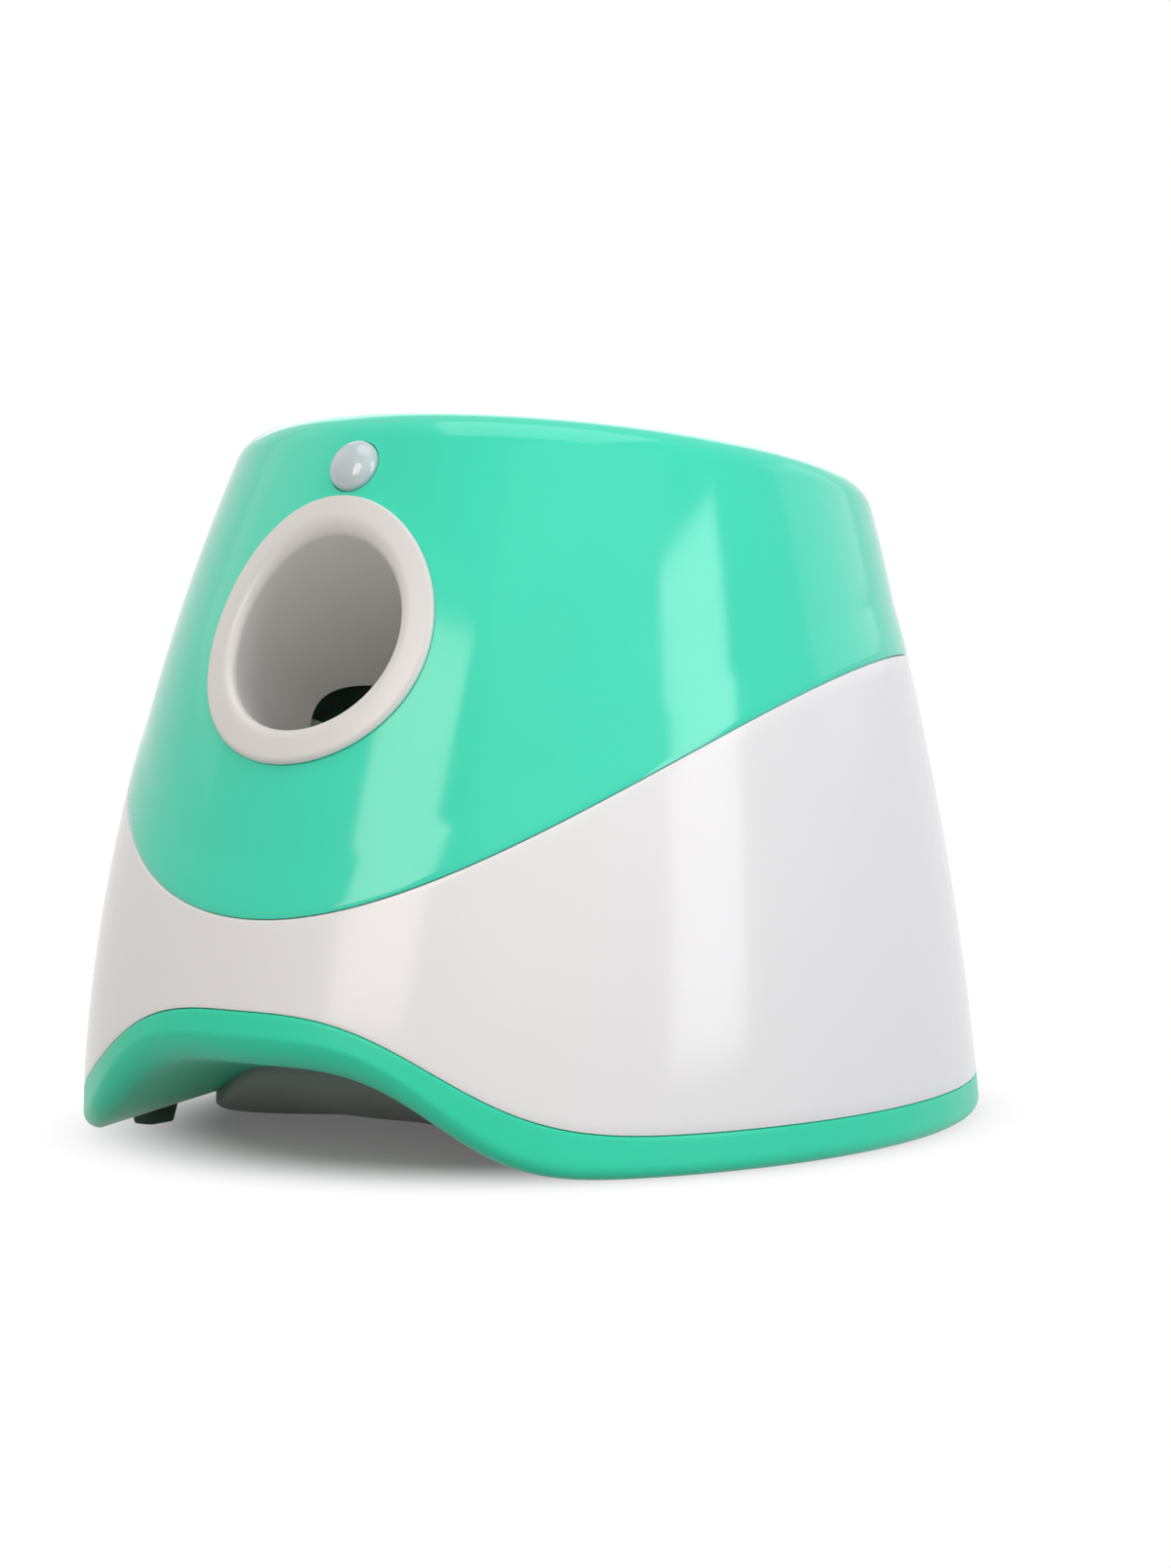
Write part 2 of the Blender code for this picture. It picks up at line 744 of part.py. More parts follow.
def kept_inside(x, y, z):
    """A point, drawn in to the middle of the casing's wall where it lies outside that."""
    middle = (rear_y(z) + front_y(z)) / 2
    across = half_width(z) - WALL / 2
    along = (rear_y(z) - front_y(z)) / 2 - WALL / 2
    reach = max(math.hypot(x / across, (y - middle) / along), 1)
    return Vector((x / reach, middle + (y - middle) / reach, z))


def at_screws(make_shape):
    """The same shape at each case screw."""
    return gathered([moved(make_shape(), screw_place(angle)) for angle in SCREW_ANGLES])


def lower_shell():
    """White lower casing, with screw bosses and the posts of the button board."""
    shares = (1 / 3, 2 / 3)
    stations = [(0, skirt_top, GAP / 2)]
    stations += [(0, between(skirt_top, seam_height, share), 0) for share in shares]
    stations += lap_tongue(seam_height)
    stations.append((WALL, between(skirt_top, seam_height, 1 / 2), 0))
    stations += lap_cover(skirt_top)
    shell = solid("lower_shell", band(stations), "shell_white")
    join(shell, "screw_bosses", gathered([screw_boss(angle) for angle in SCREW_ANGLES]))
    cut(shell, "boss_bores", at_screws(lambda: rod(SCREW_RADIUS + GAP, BOSS_BOTTOM - OVERRUN,
                                                   TUNNEL_TOP + SCREW_LENGTH + OVERRUN, TINY_FACETS)))
    panel = frame_at("panel_frame", panel_place(), outward_turn_rear(button_height()))
    join(shell, "board_posts", board_posts(), panel)
    cut(shell, "panel_holes", panel_holes(), panel)
    jack = frame_at("jack_hole_frame", (0, rear_y(JACK_HEIGHT), JACK_HEIGHT),
                    outward_turn_rear(JACK_HEIGHT))
    cut(shell, "jack_hole", rod(JACK_RADIUS + GAP, -WALL - OVERRUN, OVERRUN, SMALL_FACETS), jack)


def board_depth():
    """How far the button board's face lies behind the wall's outer face."""
    return BUTTON_DEPTH + BUTTON_TRAVEL + GAP + BUTTON_SWITCH_HEIGHT + GAP


def board_posts():
    """Two posts that carry the button board, rooted in the wall."""
    posts = []
    for side in (-1, 1):
        post = rod(POST_RADIUS, GAP - board_depth(), -WALL / 2, TINY_FACETS)
        posts.append(moved(post, (side * POST_SPREAD, 0, 0)))
    return gathered(posts)


def panel_place():
    """Middle of the push button on the rear wall."""
    return (0, rear_y(button_height()), button_height())


def light_places():
    """Light pipes stand in a row above the button, each set on the curve of the wall."""
    middle = (LIGHT_COUNT - 1) / 2
    turn = outward_turn_rear(button_height())
    places = []
    for number in range(LIGHT_COUNT):
        x = (number - middle) * LIGHT_SPACING
        places.append((x, -LIGHT_RISE, wall_reach(panel_place(), turn, x, -LIGHT_RISE)))
    return places


def panel_holes():
    """Holes for the button and its light pipes."""
    holes = [rod(BUTTON_RADIUS + BUTTON_FIT, -WALL - OVERRUN, OVERRUN, ROUND_FACETS)]
    for place in light_places():
        holes.append(moved(rod(LIGHT_RADIUS + GAP, -WALL - OVERRUN, OVERRUN, TINY_FACETS), place))
    return gathered(holes)


def soffit_height(angle):
    """Underside of the skirt where it meets the floor pan, which rises behind the arch."""
    return SOFFIT_HEIGHT + SOFFIT_ARCH_RISE * arch_share(angle)


def base_skirt():
    """Green base: outer band with the front arch, turned under as a soffit to the floor pan."""
    turns = [math.radians(angle) for angle in (0, 30, 60, 90)]
    stations = [(SKIRT_ROUND * (1 - math.cos(turn)), skirt_bottom, SKIRT_ROUND * (1 - math.sin(turn)))
                for turn in turns]
    stations.reverse()
    outside = lap_tongue(skirt_top)
    inside = [(WALL, skirt_bottom, SKIRT_ROUND), (SKIRT_ROUND, skirt_bottom, SKIRT_ROUND / 2)]
    soffit_top = [(SOFFIT_INSET, soffit_height, WALL)]
    soffit_edge = [(SOFFIT_INSET, soffit_height, 0)]
    outline = soffit_edge + stations + outside + inside + soffit_top
    skirt = solid("base_skirt", band(outline), "base_green")
    tunnels = at_screws(lambda: rod(TUNNEL_RADIUS, SKIRT_ROUND / 2, TUNNEL_TOP, TINY_FACETS))
    join(skirt, "screw_tunnels", tunnels)
    cut(skirt, "tunnel_bores", at_screws(tunnel_bore))


def tunnel_bore():
    """Counterbore for a screw's head, open below, with the hole for its shank above the seat."""
    seat = TUNNEL_TOP - TUNNEL_SEAT
    hole = SCREW_RADIUS + GAP
    profile = [(0, TUNNEL_TOP + OVERRUN), (hole, TUNNEL_TOP + OVERRUN), (hole, seat)]
    profile += [(TUNNEL_BORE_RADIUS, seat), (TUNNEL_BORE_RADIUS, -OVERRUN), (0, -OVERRUN)]
    return turned(profile, TINY_FACETS)


def case_screws():
    """Four screws that hold the skirt to the lower shell."""
    under = TUNNEL_TOP - TUNNEL_SEAT - GAP
    profile = [(0, under + SCREW_LENGTH), (SCREW_RADIUS, under + SCREW_LENGTH), (SCREW_RADIUS, under),
               (SCREW_HEAD_RADIUS, under), (SCREW_HEAD_RADIUS, under - SCREW_HEAD_HEIGHT / 2),
               (SCREW_HEAD_RADIUS / 2, under - SCREW_HEAD_HEIGHT), (0, under - SCREW_HEAD_HEIGHT)]
    for number, angle in enumerate(SCREW_ANGLES, 1):
        solid(f"case_screw_{number}", turned(profile, TINY_FACETS), "steel", place=screw_place(angle))


def soffit_under(x, y):
    """Height of the skirt's underside above a point on the floor, between its edge and the pan."""
    middle = (rear_y(SOFFIT_HEIGHT) + front_y(SOFFIT_HEIGHT)) / 2
    half_depth = (rear_y(SOFFIT_HEIGHT) - front_y(SOFFIT_HEIGHT)) / 2
    angle = math.atan2(x / half_width(SOFFIT_HEIGHT), (middle - y) / half_depth)
    outer = body_point(angle, skirt_bottom(angle), SKIRT_ROUND)
    inner = body_point(angle, soffit_height(angle), SOFFIT_INSET)
    run = (inner.xy - outer.xy).length
    share = (Vector((x, y)) - outer.xy).length / run
    return outer.z + (inner.z - outer.z) * min(max(share, 0), 1)


def feet():
    """Rubber feet whose tops follow the slope of the skirt's underside."""
    for name, angle in FOOT_ANGLES.items():
        middle = body_point(angle, 0, FOOT_INSET)
        shape = block((-FOOT_WIDTH / 2, -FOOT_LENGTH / 2, 0),
                      (FOOT_WIDTH / 2, FOOT_LENGTH / 2, FOOT_WIDTH))
        for vert in shape.verts:
            if vert.co.z > 0:
                vert.co.z = soffit_under(middle.x + vert.co.x, middle.y + vert.co.y) - FOOT_SEAT
            else:
                vert.co.x -= math.copysign(FOOT_TAPER, vert.co.x)
                vert.co.y -= math.copysign(FOOT_TAPER, vert.co.y)
        solid("foot_" + name, shape, "rubber_green", place=middle)


# Floor pan and battery compartment

def floor_pan():
    """Grey pan that closes the middle of the base, with an upright rim and the battery opening."""
    top = PAN_BOTTOM + PAN_THICKNESS
    edge = SOFFIT_INSET + GAP
    inner = edge + PAN_RIM_WALL
    angles = [math.tau * step / BODY_FACETS for step in range(BODY_FACETS)]
    rings = []
    rings.append([body_point(angle, top, inner) for angle in angles])
    for inset in (inner, edge):
        rings.append([body_point(angle, soffit_height(angle) + PAN_RIM_RISE, inset) for angle in angles])
    rings.append([body_point(angle, PAN_BOTTOM, edge) for angle in angles])
    pan = solid("floor_pan", lofted(rings), "base_grey")
    low = box_low()
    high = box_high()
    wall = BATTERY_WALL
    cut(pan, "battery_opening", block((low[0] + wall, low[1] + wall, PAN_BOTTOM - OVERRUN),
                                      (high[0] - wall, high[1] - wall, top + OVERRUN)))


def battery_box():
    """Black box over the cells, open below."""
    low = box_low()
    high = box_high()
    box = solid("battery_box", block(low, high), "plastic_black")
    wall = BATTERY_WALL
    cut(box, "cell_hollow", block((low[0] + wall, low[1] + wall, low[2] - OVERRUN),
                                  (high[0] - wall, high[1] - wall, high[2] - wall)))
    posts = []
    for x, y in standoff_places():
        post = rod(STANDOFF_RADIUS, -wall / 2, STANDOFF_HEIGHT, TINY_FACETS)
        posts.append(moved(post, (x, y, high[2])))
    join(box, "board_standoffs", gathered(posts))


def board_edges():
    """Lower and upper corner of the main board, over the rear of the battery box."""
    low = box_low()
    high = box_high()
    return ((low[0] + MAIN_BOARD_INSET, low[1] + MAIN_BOARD_SETBACK),
            (high[0] - MAIN_BOARD_INSET, high[1]))


def standoff_places():
    """Standoffs stand under the main board's corners."""
    (left, front), (right, rear) = board_edges()
    inset = STANDOFF_INSET
    return [(x, y) for x in (left + inset, right - inset) for y in (front + inset, rear - inset)]


def cell_row_y(row):
    pitch = 2 * CELL_RADIUS + CELL_CLEARANCE
    return box_low()[1] + BATTERY_WALL + CELL_CLEARANCE + CELL_RADIUS + row * pitch


def cell_height():
    return box_high()[2] - BATTERY_WALL - CELL_CLEARANCE - CELL_RADIUS


def cells():
    """Six round cells in rows that face opposite ways by turns."""
    tip = CELL_LENGTH + CELL_TIP
    profile = [(0, tip), (CELL_TIP_RADIUS, tip), (CELL_TIP_RADIUS, CELL_LENGTH),
               (CELL_RADIUS - CELL_ROUND, CELL_LENGTH), (CELL_RADIUS, CELL_LENGTH - CELL_ROUND),
               (CELL_RADIUS, 0), (0, 0)]
    start = box_low()[0] + BATTERY_WALL + GAP + CONTACT_SHEET + CONTACT_SPRING + GAP
    pitch = CELL_LENGTH + CELL_TIP + GAP
    for row in range(CELL_ROWS):
        facing = 1 if row % 2 == 0 else -1
        for place in range(CELLS_IN_ROW):
            x = facing * (start + place * pitch)
            name = f"cell_{row * CELLS_IN_ROW + place + 1}"
            solid(name, turned(profile, SMALL_FACETS), "cell_jacket",
                  place=(x, cell_row_y(row), cell_height()), turn=(0, facing * math.pi / 2, 0))


def contacts():
    """Contact plates at the ends of the rows, with a spring where a row's flat end meets them."""
    low = box_low()
    high = box_high()
    half_height = CELL_RADIUS - CELL_ROUND
    for side, name, first_row in ((-1, "contact_left", 0), (1, "contact_right", 1)):
        wall_face = side * (high[0] - BATTERY_WALL - GAP)
        near = wall_face - side * CONTACT_SHEET
        plate = block((min(wall_face, near), low[1] + BATTERY_WALL + GAP, cell_height() - half_height),
                      (max(wall_face, near), high[1] - BATTERY_WALL - GAP, cell_height() + half_height))
        contact = solid(name, plate, "nickel")
        springs = []
        for row in range(first_row, CELL_ROWS, 2):
            profile = [(0, CONTACT_SPRING), (CELL_TIP_RADIUS, CONTACT_SPRING),
                       (CONTACT_SPRING_RADIUS, -CONTACT_SHEET / 2), (0, -CONTACT_SHEET / 2)]
            turn = Matrix.Rotation(-side * math.pi / 2, 4, "Y")
            spring = turned(profile, TINY_FACETS)
            springs.append(moved(spring, (near, cell_row_y(row), cell_height()), turn))
        join(contact, name + "_springs", gathered(springs))


def battery_door():
    """Door flush with the underside of the pan, held by two screws."""
    low = box_low()
    high = box_high()
    wall = BATTERY_WALL + DOOR_FIT
    top = PAN_BOTTOM + DOOR_THICKNESS
    panel = block((low[0] + wall, low[1] + wall, PAN_BOTTOM), (high[0] - wall, high[1] - wall, top))
    door = solid("battery_door", panel, "base_grey")
    holes = []
    for place in door_screw_places():
        hole = rod(SCREW_RADIUS + GAP, PAN_BOTTOM - OVERRUN, top + OVERRUN, TINY_FACETS)
        holes.append(moved(hole, place))
    cut(door, "door_screw_holes", gathered(holes))


def door_screw_places():
    low = box_low()
    high = box_high()
    middle = (low[1] + high[1]) / 2
    inset = BATTERY_WALL + DOOR_FIT + DOOR_SCREW_INSET
    return [(side * (high[0] - inset), middle, 0) for side in (-1, 1)]


# Hopper

def throat_y():
    """The throat stands over the place where a ball comes to rest in the chamber."""
    return launch_point(0, BALL_RADIUS - TROUGH_RADIUS, BACK_DEPTH - BALL_RADIUS).y


def throat_bottom():
    """The throat ends above the chamber's side walls."""
    return launch_point(0, SIDE_WALL_RISE, TROUGH_WIDE_FROM).z + THROAT_STANDOFF


def throat_top():
    return throat_bottom() + THROAT_LENGTH


def bowl_point(angle, share, grow):
    """Point on the hopper's bowl: share 0 at the throat, 1 at the rim; grow moves it to the underside."""
    rim_z = top_height(angle) - HOPPER_SEAT
    rim = body_point(angle, rim_z, RIM_INSET + GAP + HOPPER_WALL - grow)
    radius = THROAT_RADIUS + grow
    throat = Vector((radius * math.sin(angle), throat_y() - radius * math.cos(angle), throat_top()))
    point = throat.lerp(rim, share)
    steep = BOWL_STRAIGHT_SHARE * share + (1 - BOWL_STRAIGHT_SHARE) * share ** BOWL_CURVE_SHARE
    point.z = throat_top() + (rim_z - throat_top()) * steep - grow
    return point


def hopper_bowl():
    """White bowl that guides balls into its round throat."""
    shares = (0, 0.25, 0.55, 0.8, 1)
    angles = [math.tau * step / BOWL_FACETS for step in range(BOWL_FACETS)]
    inner = [[bowl_point(angle, share, 0) for angle in angles] for share in shares]
    outer = [[bowl_point(angle, share, HOPPER_WALL) for angle in angles] for share in reversed(shares)]
    rim = [[Vector((*bowl_point(angle, 1, HOPPER_WALL).xy, bowl_point(angle, 1, 0).z))
            for angle in angles]]
    throats = []
    for grow, rings in ((HOPPER_WALL, outer), (0, inner)):
        ring = [Vector((*bowl_point(angle, 0, grow).xy, throat_bottom())) for angle in angles]
        throats.append(ring)
    solid("hopper_bowl", lofted(inner + rim + outer + throats, closed=True), "shell_white")


# Launch tube, in the frame of the launch line

def wall_reach(place, turn, x, y):
    """Height of the wall over a frame set on it, at a place across the frame."""
    matrix = Matrix.Translation(Vector(place)) @ Matrix.Rotation(turn[0], 4, "X")
    near = -RING_RADIUS
    far = RING_RADIUS
    for _ in range(SEARCH_STEPS):
        middle = (near + far) / 2
        point = matrix @ Vector((x, y, middle))
        centre = (rear_y(point.z) + front_y(point.z)) / 2
        half_depth = (rear_y(point.z) - front_y(point.z)) / 2
        if (point.x / half_width(point.z)) ** 2 + ((point.y - centre) / half_depth) ** 2 < 1:
            near = middle
        else:
            far = middle
    return (near + far) / 2


def mouth_reach(x, y):
    """Distance along the launch line from the mouth's middle to the front wall."""
    return wall_reach(mouth_place(), mouth_turn(), x, y)


def launch_tube(launch):
    """Bore with the mouth ring: a rolled edge and a flange that follows the curve of the wall."""
    outer = BORE_RADIUS + TUBE_WALL
    spigot = RING_HOLE_RADIUS - GAP
    roll = [math.radians(angle) for angle in (0, 30, 60, 90)]
    on_wall = [(spigot, -RING_SPIGOT), (spigot, GAP), (RING_RADIUS, GAP), (RING_RADIUS, GAP + RING_EDGE),
               (RING_RADIUS - RING_EDGE, RING_PROUD)]
    for turn in roll:
        on_wall.append((BORE_RADIUS + RING_ROLL * (1 - math.sin(turn)),
                        RING_PROUD - RING_ROLL * (1 - math.cos(turn))))
    on_wall.append((outer, -RING_SPIGOT))
    rings = []
    angles = [math.tau * step / TUBE_FACETS for step in range(TUBE_FACETS)]
    for radius, rise in [on_wall[-1]] + on_wall[:-1]:
        across = [(radius * math.cos(angle), radius * math.sin(angle)) for angle in angles]
        rings.append([(x, y, mouth_reach(x, y) + rise) for x, y in across])
    for radius in (BORE_RADIUS, outer):
        rings.append([(radius * math.cos(angle), radius * math.sin(angle), -TUBE_DEPTH)
                      for angle in angles])
    solid("launch_tube", lofted(rings, closed=True), "ring_white", launch)


# Throwing wheels

def wheel_x():
    """Distance of each wheel's axis from the ball's path, for the named squeeze."""
    return BALL_RADIUS + WHEEL_RADIUS - BALL_SQUEEZE


def motor_top():
    """Height of the motor's front face below the wheel's middle."""
    return WHEEL_WIDTH / 2 + BRACKET_CLEARANCE + BRACKET_SHEET + GAP


def wheel_hub():
    """Hub with a boss, a thin web and a rim for the tyre; its bore takes the motor's shaft."""
    half = WHEEL_WIDTH / 2
    rim = WHEEL_RADIUS - TYRE_THICKNESS - GAP
    bore = SHAFT_RADIUS + SHAFT_FIT
    dish = rim - TUBE_WALL
    profile = [(bore, half), (HUB_BOSS_RADIUS, half), (HUB_BOSS_RADIUS, HUB_WEB / 2),
               (dish, HUB_WEB / 2), (dish, half), (rim, half)]
    mirrored = [(radius, -height) for radius, height in reversed(profile)]
    return turned(profile + mirrored, ROUND_FACETS, closed=True)


def tyre():
    """Soft tyre with a tread hollowed to the ball's curve."""
    half = WHEEL_WIDTH / 2
    inner = WHEEL_RADIUS - TYRE_THICKNESS
    profile = [(inner, half), (WHEEL_RADIUS - TREAD_HOLLOW / 2, half),
               (WHEEL_RADIUS, half - TREAD_HOLLOW),
               (WHEEL_RADIUS - TREAD_HOLLOW, 0), (WHEEL_RADIUS, TREAD_HOLLOW - half),
               (WHEEL_RADIUS - TREAD_HOLLOW / 2, -half), (inner, -half)]
    return turned(profile, ROUND_FACETS, closed=True)


def motor():
    """Can motor with a nose and a blind bore that the shaft runs in, its front face at local zero."""
    bore = SHAFT_RADIUS + SHAFT_FIT
    tail = -MOTOR_LENGTH - MOTOR_NOSE / 2
    profile = [(0, -SHAFT_SEAT), (bore, -SHAFT_SEAT), (bore, MOTOR_NOSE), (MOTOR_NOSE_RADIUS, MOTOR_NOSE),
               (MOTOR_NOSE_RADIUS, 0), (MOTOR_RADIUS - MOTOR_ROUND, 0), (MOTOR_RADIUS, -MOTOR_ROUND),
               (MOTOR_RADIUS, MOTOR_ROUND - MOTOR_LENGTH), (MOTOR_RADIUS - MOTOR_ROUND, -MOTOR_LENGTH),
               (MOTOR_NOSE_RADIUS, -MOTOR_LENGTH), (MOTOR_NOSE_RADIUS, tail), (0, tail)]
    return turned(profile, ROUND_FACETS)


def motor_bracket(name, launch, side):
    """Bent sheet bracket: a plate across the motor's front and a leg down to the pan."""
    place = Vector((side * wheel_x(), 0, -WHEEL_DEPTH))
    plate_top = BRACKET_SHEET + GAP - motor_top()
    plate_bottom = GAP - motor_top()
    plate = block((-BRACKET_HALF, plate_bottom, -BRACKET_HALF), (BRACKET_HALF, plate_top, BRACKET_HALF))
    bracket = solid(name, moved(plate, place), "steel", launch)
    turn = Matrix.Rotation(mouth_turn()[0], 4, "X")
    leg_points = []
    for along in (BRACKET_HALF, -BRACKET_HALF):
        local = Vector((0, plate_bottom + BRACKET_SHEET / 2, along - WHEEL_DEPTH))
        leg_points.append((turn @ local) + Vector(mouth_place()))
    foot = PAN_BOTTOM + PAN_THICKNESS + GAP
    middle_y = (leg_points[0].y + leg_points[1].y) / 2
    outline = [(leg_points[0].y, leg_points[0].z), (leg_points[1].y, leg_points[1].z),
               (middle_y + BRACKET_LEG_LENGTH / 2, foot), (middle_y - BRACKET_LEG_LENGTH / 2, foot)]
    outer = side * (wheel_x() + BRACKET_HALF)
    inner = outer - side * BRACKET_SHEET
    join(bracket, name + "_leg", extruded(outline, min(inner, outer), max(inner, outer), "X"))
    hole = moved(rod(MOTOR_NOSE_RADIUS + GAP, -OVERRUN, BRACKET_SHEET + OVERRUN, SMALL_FACETS),
                 (0, plate_bottom, 0), Matrix.Rotation(-math.pi / 2, 4, "X"))
    cut(bracket, name + "_hole", moved(hole, place), launch)


def throwing_wheels(launch):
    """Both wheels with tyres, shafts, motors and brackets. Each wheel's frame lies on its axis."""
    for side, name in ((-1, "left"), (1, "right")):
        motor_bracket(f"motor_bracket_{name}", launch, side)
        place = (side * wheel_x(), 0, -WHEEL_DEPTH)
        axle = frame_at(f"wheel_axis_{name}", place, (-math.pi / 2, 0, 0), launch)
        solid(f"wheel_hub_{name}", wheel_hub(), "hub_white", axle)
        solid(f"wheel_tyre_{name}", tyre(), "tyre_grey", axle)
        shaft = rod(SHAFT_RADIUS, GAP - motor_top() - SHAFT_SEAT, WHEEL_WIDTH / 2, TINY_FACETS)
        solid(f"wheel_shaft_{name}", shaft, "steel", axle)
        solid(f"launch_motor_{name}", motor(), "nickel", axle, (0, 0, -motor_top()))


# Launch chamber

def trough_ring(depth, half_arc, rise):
    """Section across the trough at a depth: inner arc, then outer arc back, with upright ends."""
    steps = TINY_FACETS
    ring = []
    for radius, direction in ((TROUGH_RADIUS, 1), (TROUGH_RADIUS + TROUGH_WALL, -1)):
        arc = []
        for step in range(steps + 1):
            angle = half_arc * (2 * step / steps - 1)
            arc.append((radius * math.sin(angle), -radius * math.cos(angle), -depth))
        first = (arc[0][0], arc[0][1] + rise, -depth)
        last = (arc[-1][0], arc[-1][1] + rise, -depth)
        arc = [first] + arc + [last]
        ring += arc if direction > 0 else arc[::-1]
    return ring


def chamber_leg_places():
    """Distance out and depth of the front and rear legs."""
    middle = TROUGH_RADIUS + TROUGH_WALL / 2
    return ((middle * FRONT_LEG_SHARE, TROUGH_START + FRONT_LEG_SETBACK),
            (middle * REAR_LEG_SHARE, BACK_DEPTH - REAR_LEG_SETBACK))


def chamber_leg(x, depth):
    """Upright leg from the pan into the trough's wall, in world coordinates."""
    middle = TROUGH_RADIUS + TROUGH_WALL / 2
    drop = math.sqrt(middle ** 2 - x ** 2)
    top = launch_point(x, -drop, depth)
    foot = PAN_BOTTOM + PAN_THICKNESS + GAP
    return block((x - LEG_WIDTH / 2, top.y - LEG_LENGTH / 2, foot),
                 (x + LEG_WIDTH / 2, top.y + LEG_LENGTH / 2, top.z))


def launch_point(x, rise, depth):
    """World point from a place across the launch line and a depth behind the mouth."""
    turn = Matrix.Rotation(mouth_turn()[0], 4, "X")
    return turn @ Vector((x, rise, -depth)) + Vector(mouth_place())


def launch_chamber(launch):
    """Green trough that cradles the waiting ball, open to the wheels at its sides."""
    rings = [trough_ring(TROUGH_START, TROUGH_NARROW_ARC, EDGE_RISE),
             trough_ring(TROUGH_WIDE_FROM, TROUGH_NARROW_ARC, EDGE_RISE),
             trough_ring(TROUGH_WIDE_FROM + TROUGH_WIDEN, TROUGH_WIDE_ARC, SIDE_WALL_RISE),
             trough_ring(BACK_DEPTH + BACK_THICKNESS, TROUGH_WIDE_ARC, SIDE_WALL_RISE)]
    chamber = solid("launch_chamber", lofted(rings), "chamber_green", launch)
    outer = TROUGH_RADIUS + TROUGH_WALL / 2
    arc = [math.radians(angle) for angle in range(-90, 91, 15)]
    outline = [(outer * math.sin(turn), -outer * math.cos(turn)) for turn in arc]
    outline = [(-outer, SIDE_WALL_RISE)] + outline + [(outer, SIDE_WALL_RISE)]
    join(chamber, "back_plate", extruded(outline, -BACK_DEPTH - BACK_THICKNESS, -BACK_DEPTH), launch)
    legs = [chamber_leg(side * x, depth) for side in (-1, 1) for x, depth in chamber_leg_places()]
    join(chamber, "chamber_legs", gathered(legs))
    join(chamber, "sensor_ears", sensor_ears(), launch)
    under = -TROUGH_RADIUS - TROUGH_WALL - OVERRUN
    slot = block((-ARM_SLOT_WIDTH / 2, under, -BACK_DEPTH - BACK_THICKNESS - OVERRUN),
                 (ARM_SLOT_WIDTH / 2, ARM_SLOT_TOP, -ARM_SLOT_START))
    cut(chamber, "arm_slot", slot, launch)
    window = block((SENSOR_NOSE_X, -SENSOR_NOSE_DROP, -SENSOR_DEPTH - SENSOR_WINDOW / 2),
                   (TROUGH_RADIUS + TROUGH_WALL + OVERRUN, SIDE_WALL_RISE + OVERRUN,
                    SENSOR_WINDOW / 2 - SENSOR_DEPTH))
    cut(chamber, "sensor_window", window, launch)
    cut(chamber, "sensor_pin_holes", sensor_pin(SENSOR_PIN_RADIUS + GAP, OVERRUN), launch)


# Ball sensor

def ear_inner():
    """Half the distance between the sensor's ears."""
    return SENSOR_WIDTH / 2 + SENSOR_SIDE_GAP


def sensor_ears():
    """Two ears on the side wall: a short one, and a long one that also carries the switch."""
    root = TROUGH_RADIUS + TROUGH_WALL / 2
    near = -SENSOR_DEPTH + ear_inner()
    far = -SENSOR_DEPTH - ear_inner()
    top = SIDE_WALL_RISE - EDGE_RISE
    short = block((root, SENSOR_PIVOT_RISE - SENSOR_HUB_RADIUS, near),
                  (SENSOR_PIVOT_X + SENSOR_HUB_RADIUS, top, near + SENSOR_EAR))
    reach = SENSOR_PIVOT_X + SENSOR_HUB_RADIUS + SWITCH_STANDOFF + SWITCH_PLUNGER + SWITCH_SIZE[0]
    foot = SENSOR_PIVOT_RISE - SENSOR_HUB_RADIUS - SWITCH_SIZE[1]
    long = block((root, foot, far - SENSOR_EAR), (reach, top, far))
    return gathered([short, long])


def sensor_pin(radius, extra):
    """Pin along the launch line through both ears."""
    reach = ear_inner() + SENSOR_EAR + extra
    place = (SENSOR_PIVOT_X, SENSOR_PIVOT_RISE, -SENSOR_DEPTH)
    return moved(rod(radius, -reach, reach, TINY_FACETS), place)


def ball_sensor(launch):
    """Lever, its pin and the switch that it works."""
    solid("sensor_pin", sensor_pin(SENSOR_PIN_RADIUS, 0), "steel", launch)
    place = (SENSOR_PIVOT_X, SENSOR_PIVOT_RISE, -SENSOR_DEPTH)
    pivot = frame_at("sensor_axis", place, (0, 0, 0), launch)
    half = SENSOR_WIDTH / 2
    hub = SENSOR_HUB_RADIUS
    nose_x = SENSOR_NOSE_X - SENSOR_PIVOT_X
    turns = [math.radians(angle) for angle in range(-45, 181, 25)]
    outline = [(hub * math.cos(turn), hub * math.sin(turn)) for turn in turns]
    outline += [(nose_x + SENSOR_BLADE, -SENSOR_NOSE_DROP + SENSOR_BLADE),
                (nose_x, -SENSOR_NOSE_DROP),
                (nose_x + SENSOR_BLADE, -SENSOR_NOSE_DROP - SENSOR_BLADE),
                (SENSOR_HEEL_X, -SENSOR_HEEL_DROP)]
    lever = solid("sensor_lever", extruded(outline, -half, half), "plastic_black", pivot)
    bore = rod(SENSOR_PIN_RADIUS + GAP, -half - OVERRUN, half + OVERRUN, TINY_FACETS)
    cut(lever, "lever_bore", bore, pivot)
    left = SENSOR_PIVOT_X + hub + SWITCH_STANDOFF + SWITCH_PLUNGER
    top = SENSOR_PIVOT_RISE
    back = -SENSOR_DEPTH - ear_inner() + GAP
    body = block((left, top - SWITCH_SIZE[1], back), (left + SWITCH_SIZE[0], top, back + SWITCH_SIZE[2]))
    switch = solid("sensor_switch", body, "plastic_black", launch)
    plunger = along_x(rod(SENSOR_PIN_RADIUS, -SWITCH_PLUNGER, SWITCH_PLUNGER, TINY_FACETS))
    join(switch, "switch_plunger", plunger, launch, (left, top - SENSOR_HUB_RADIUS, -SENSOR_DEPTH))


# Feed arm and its gears

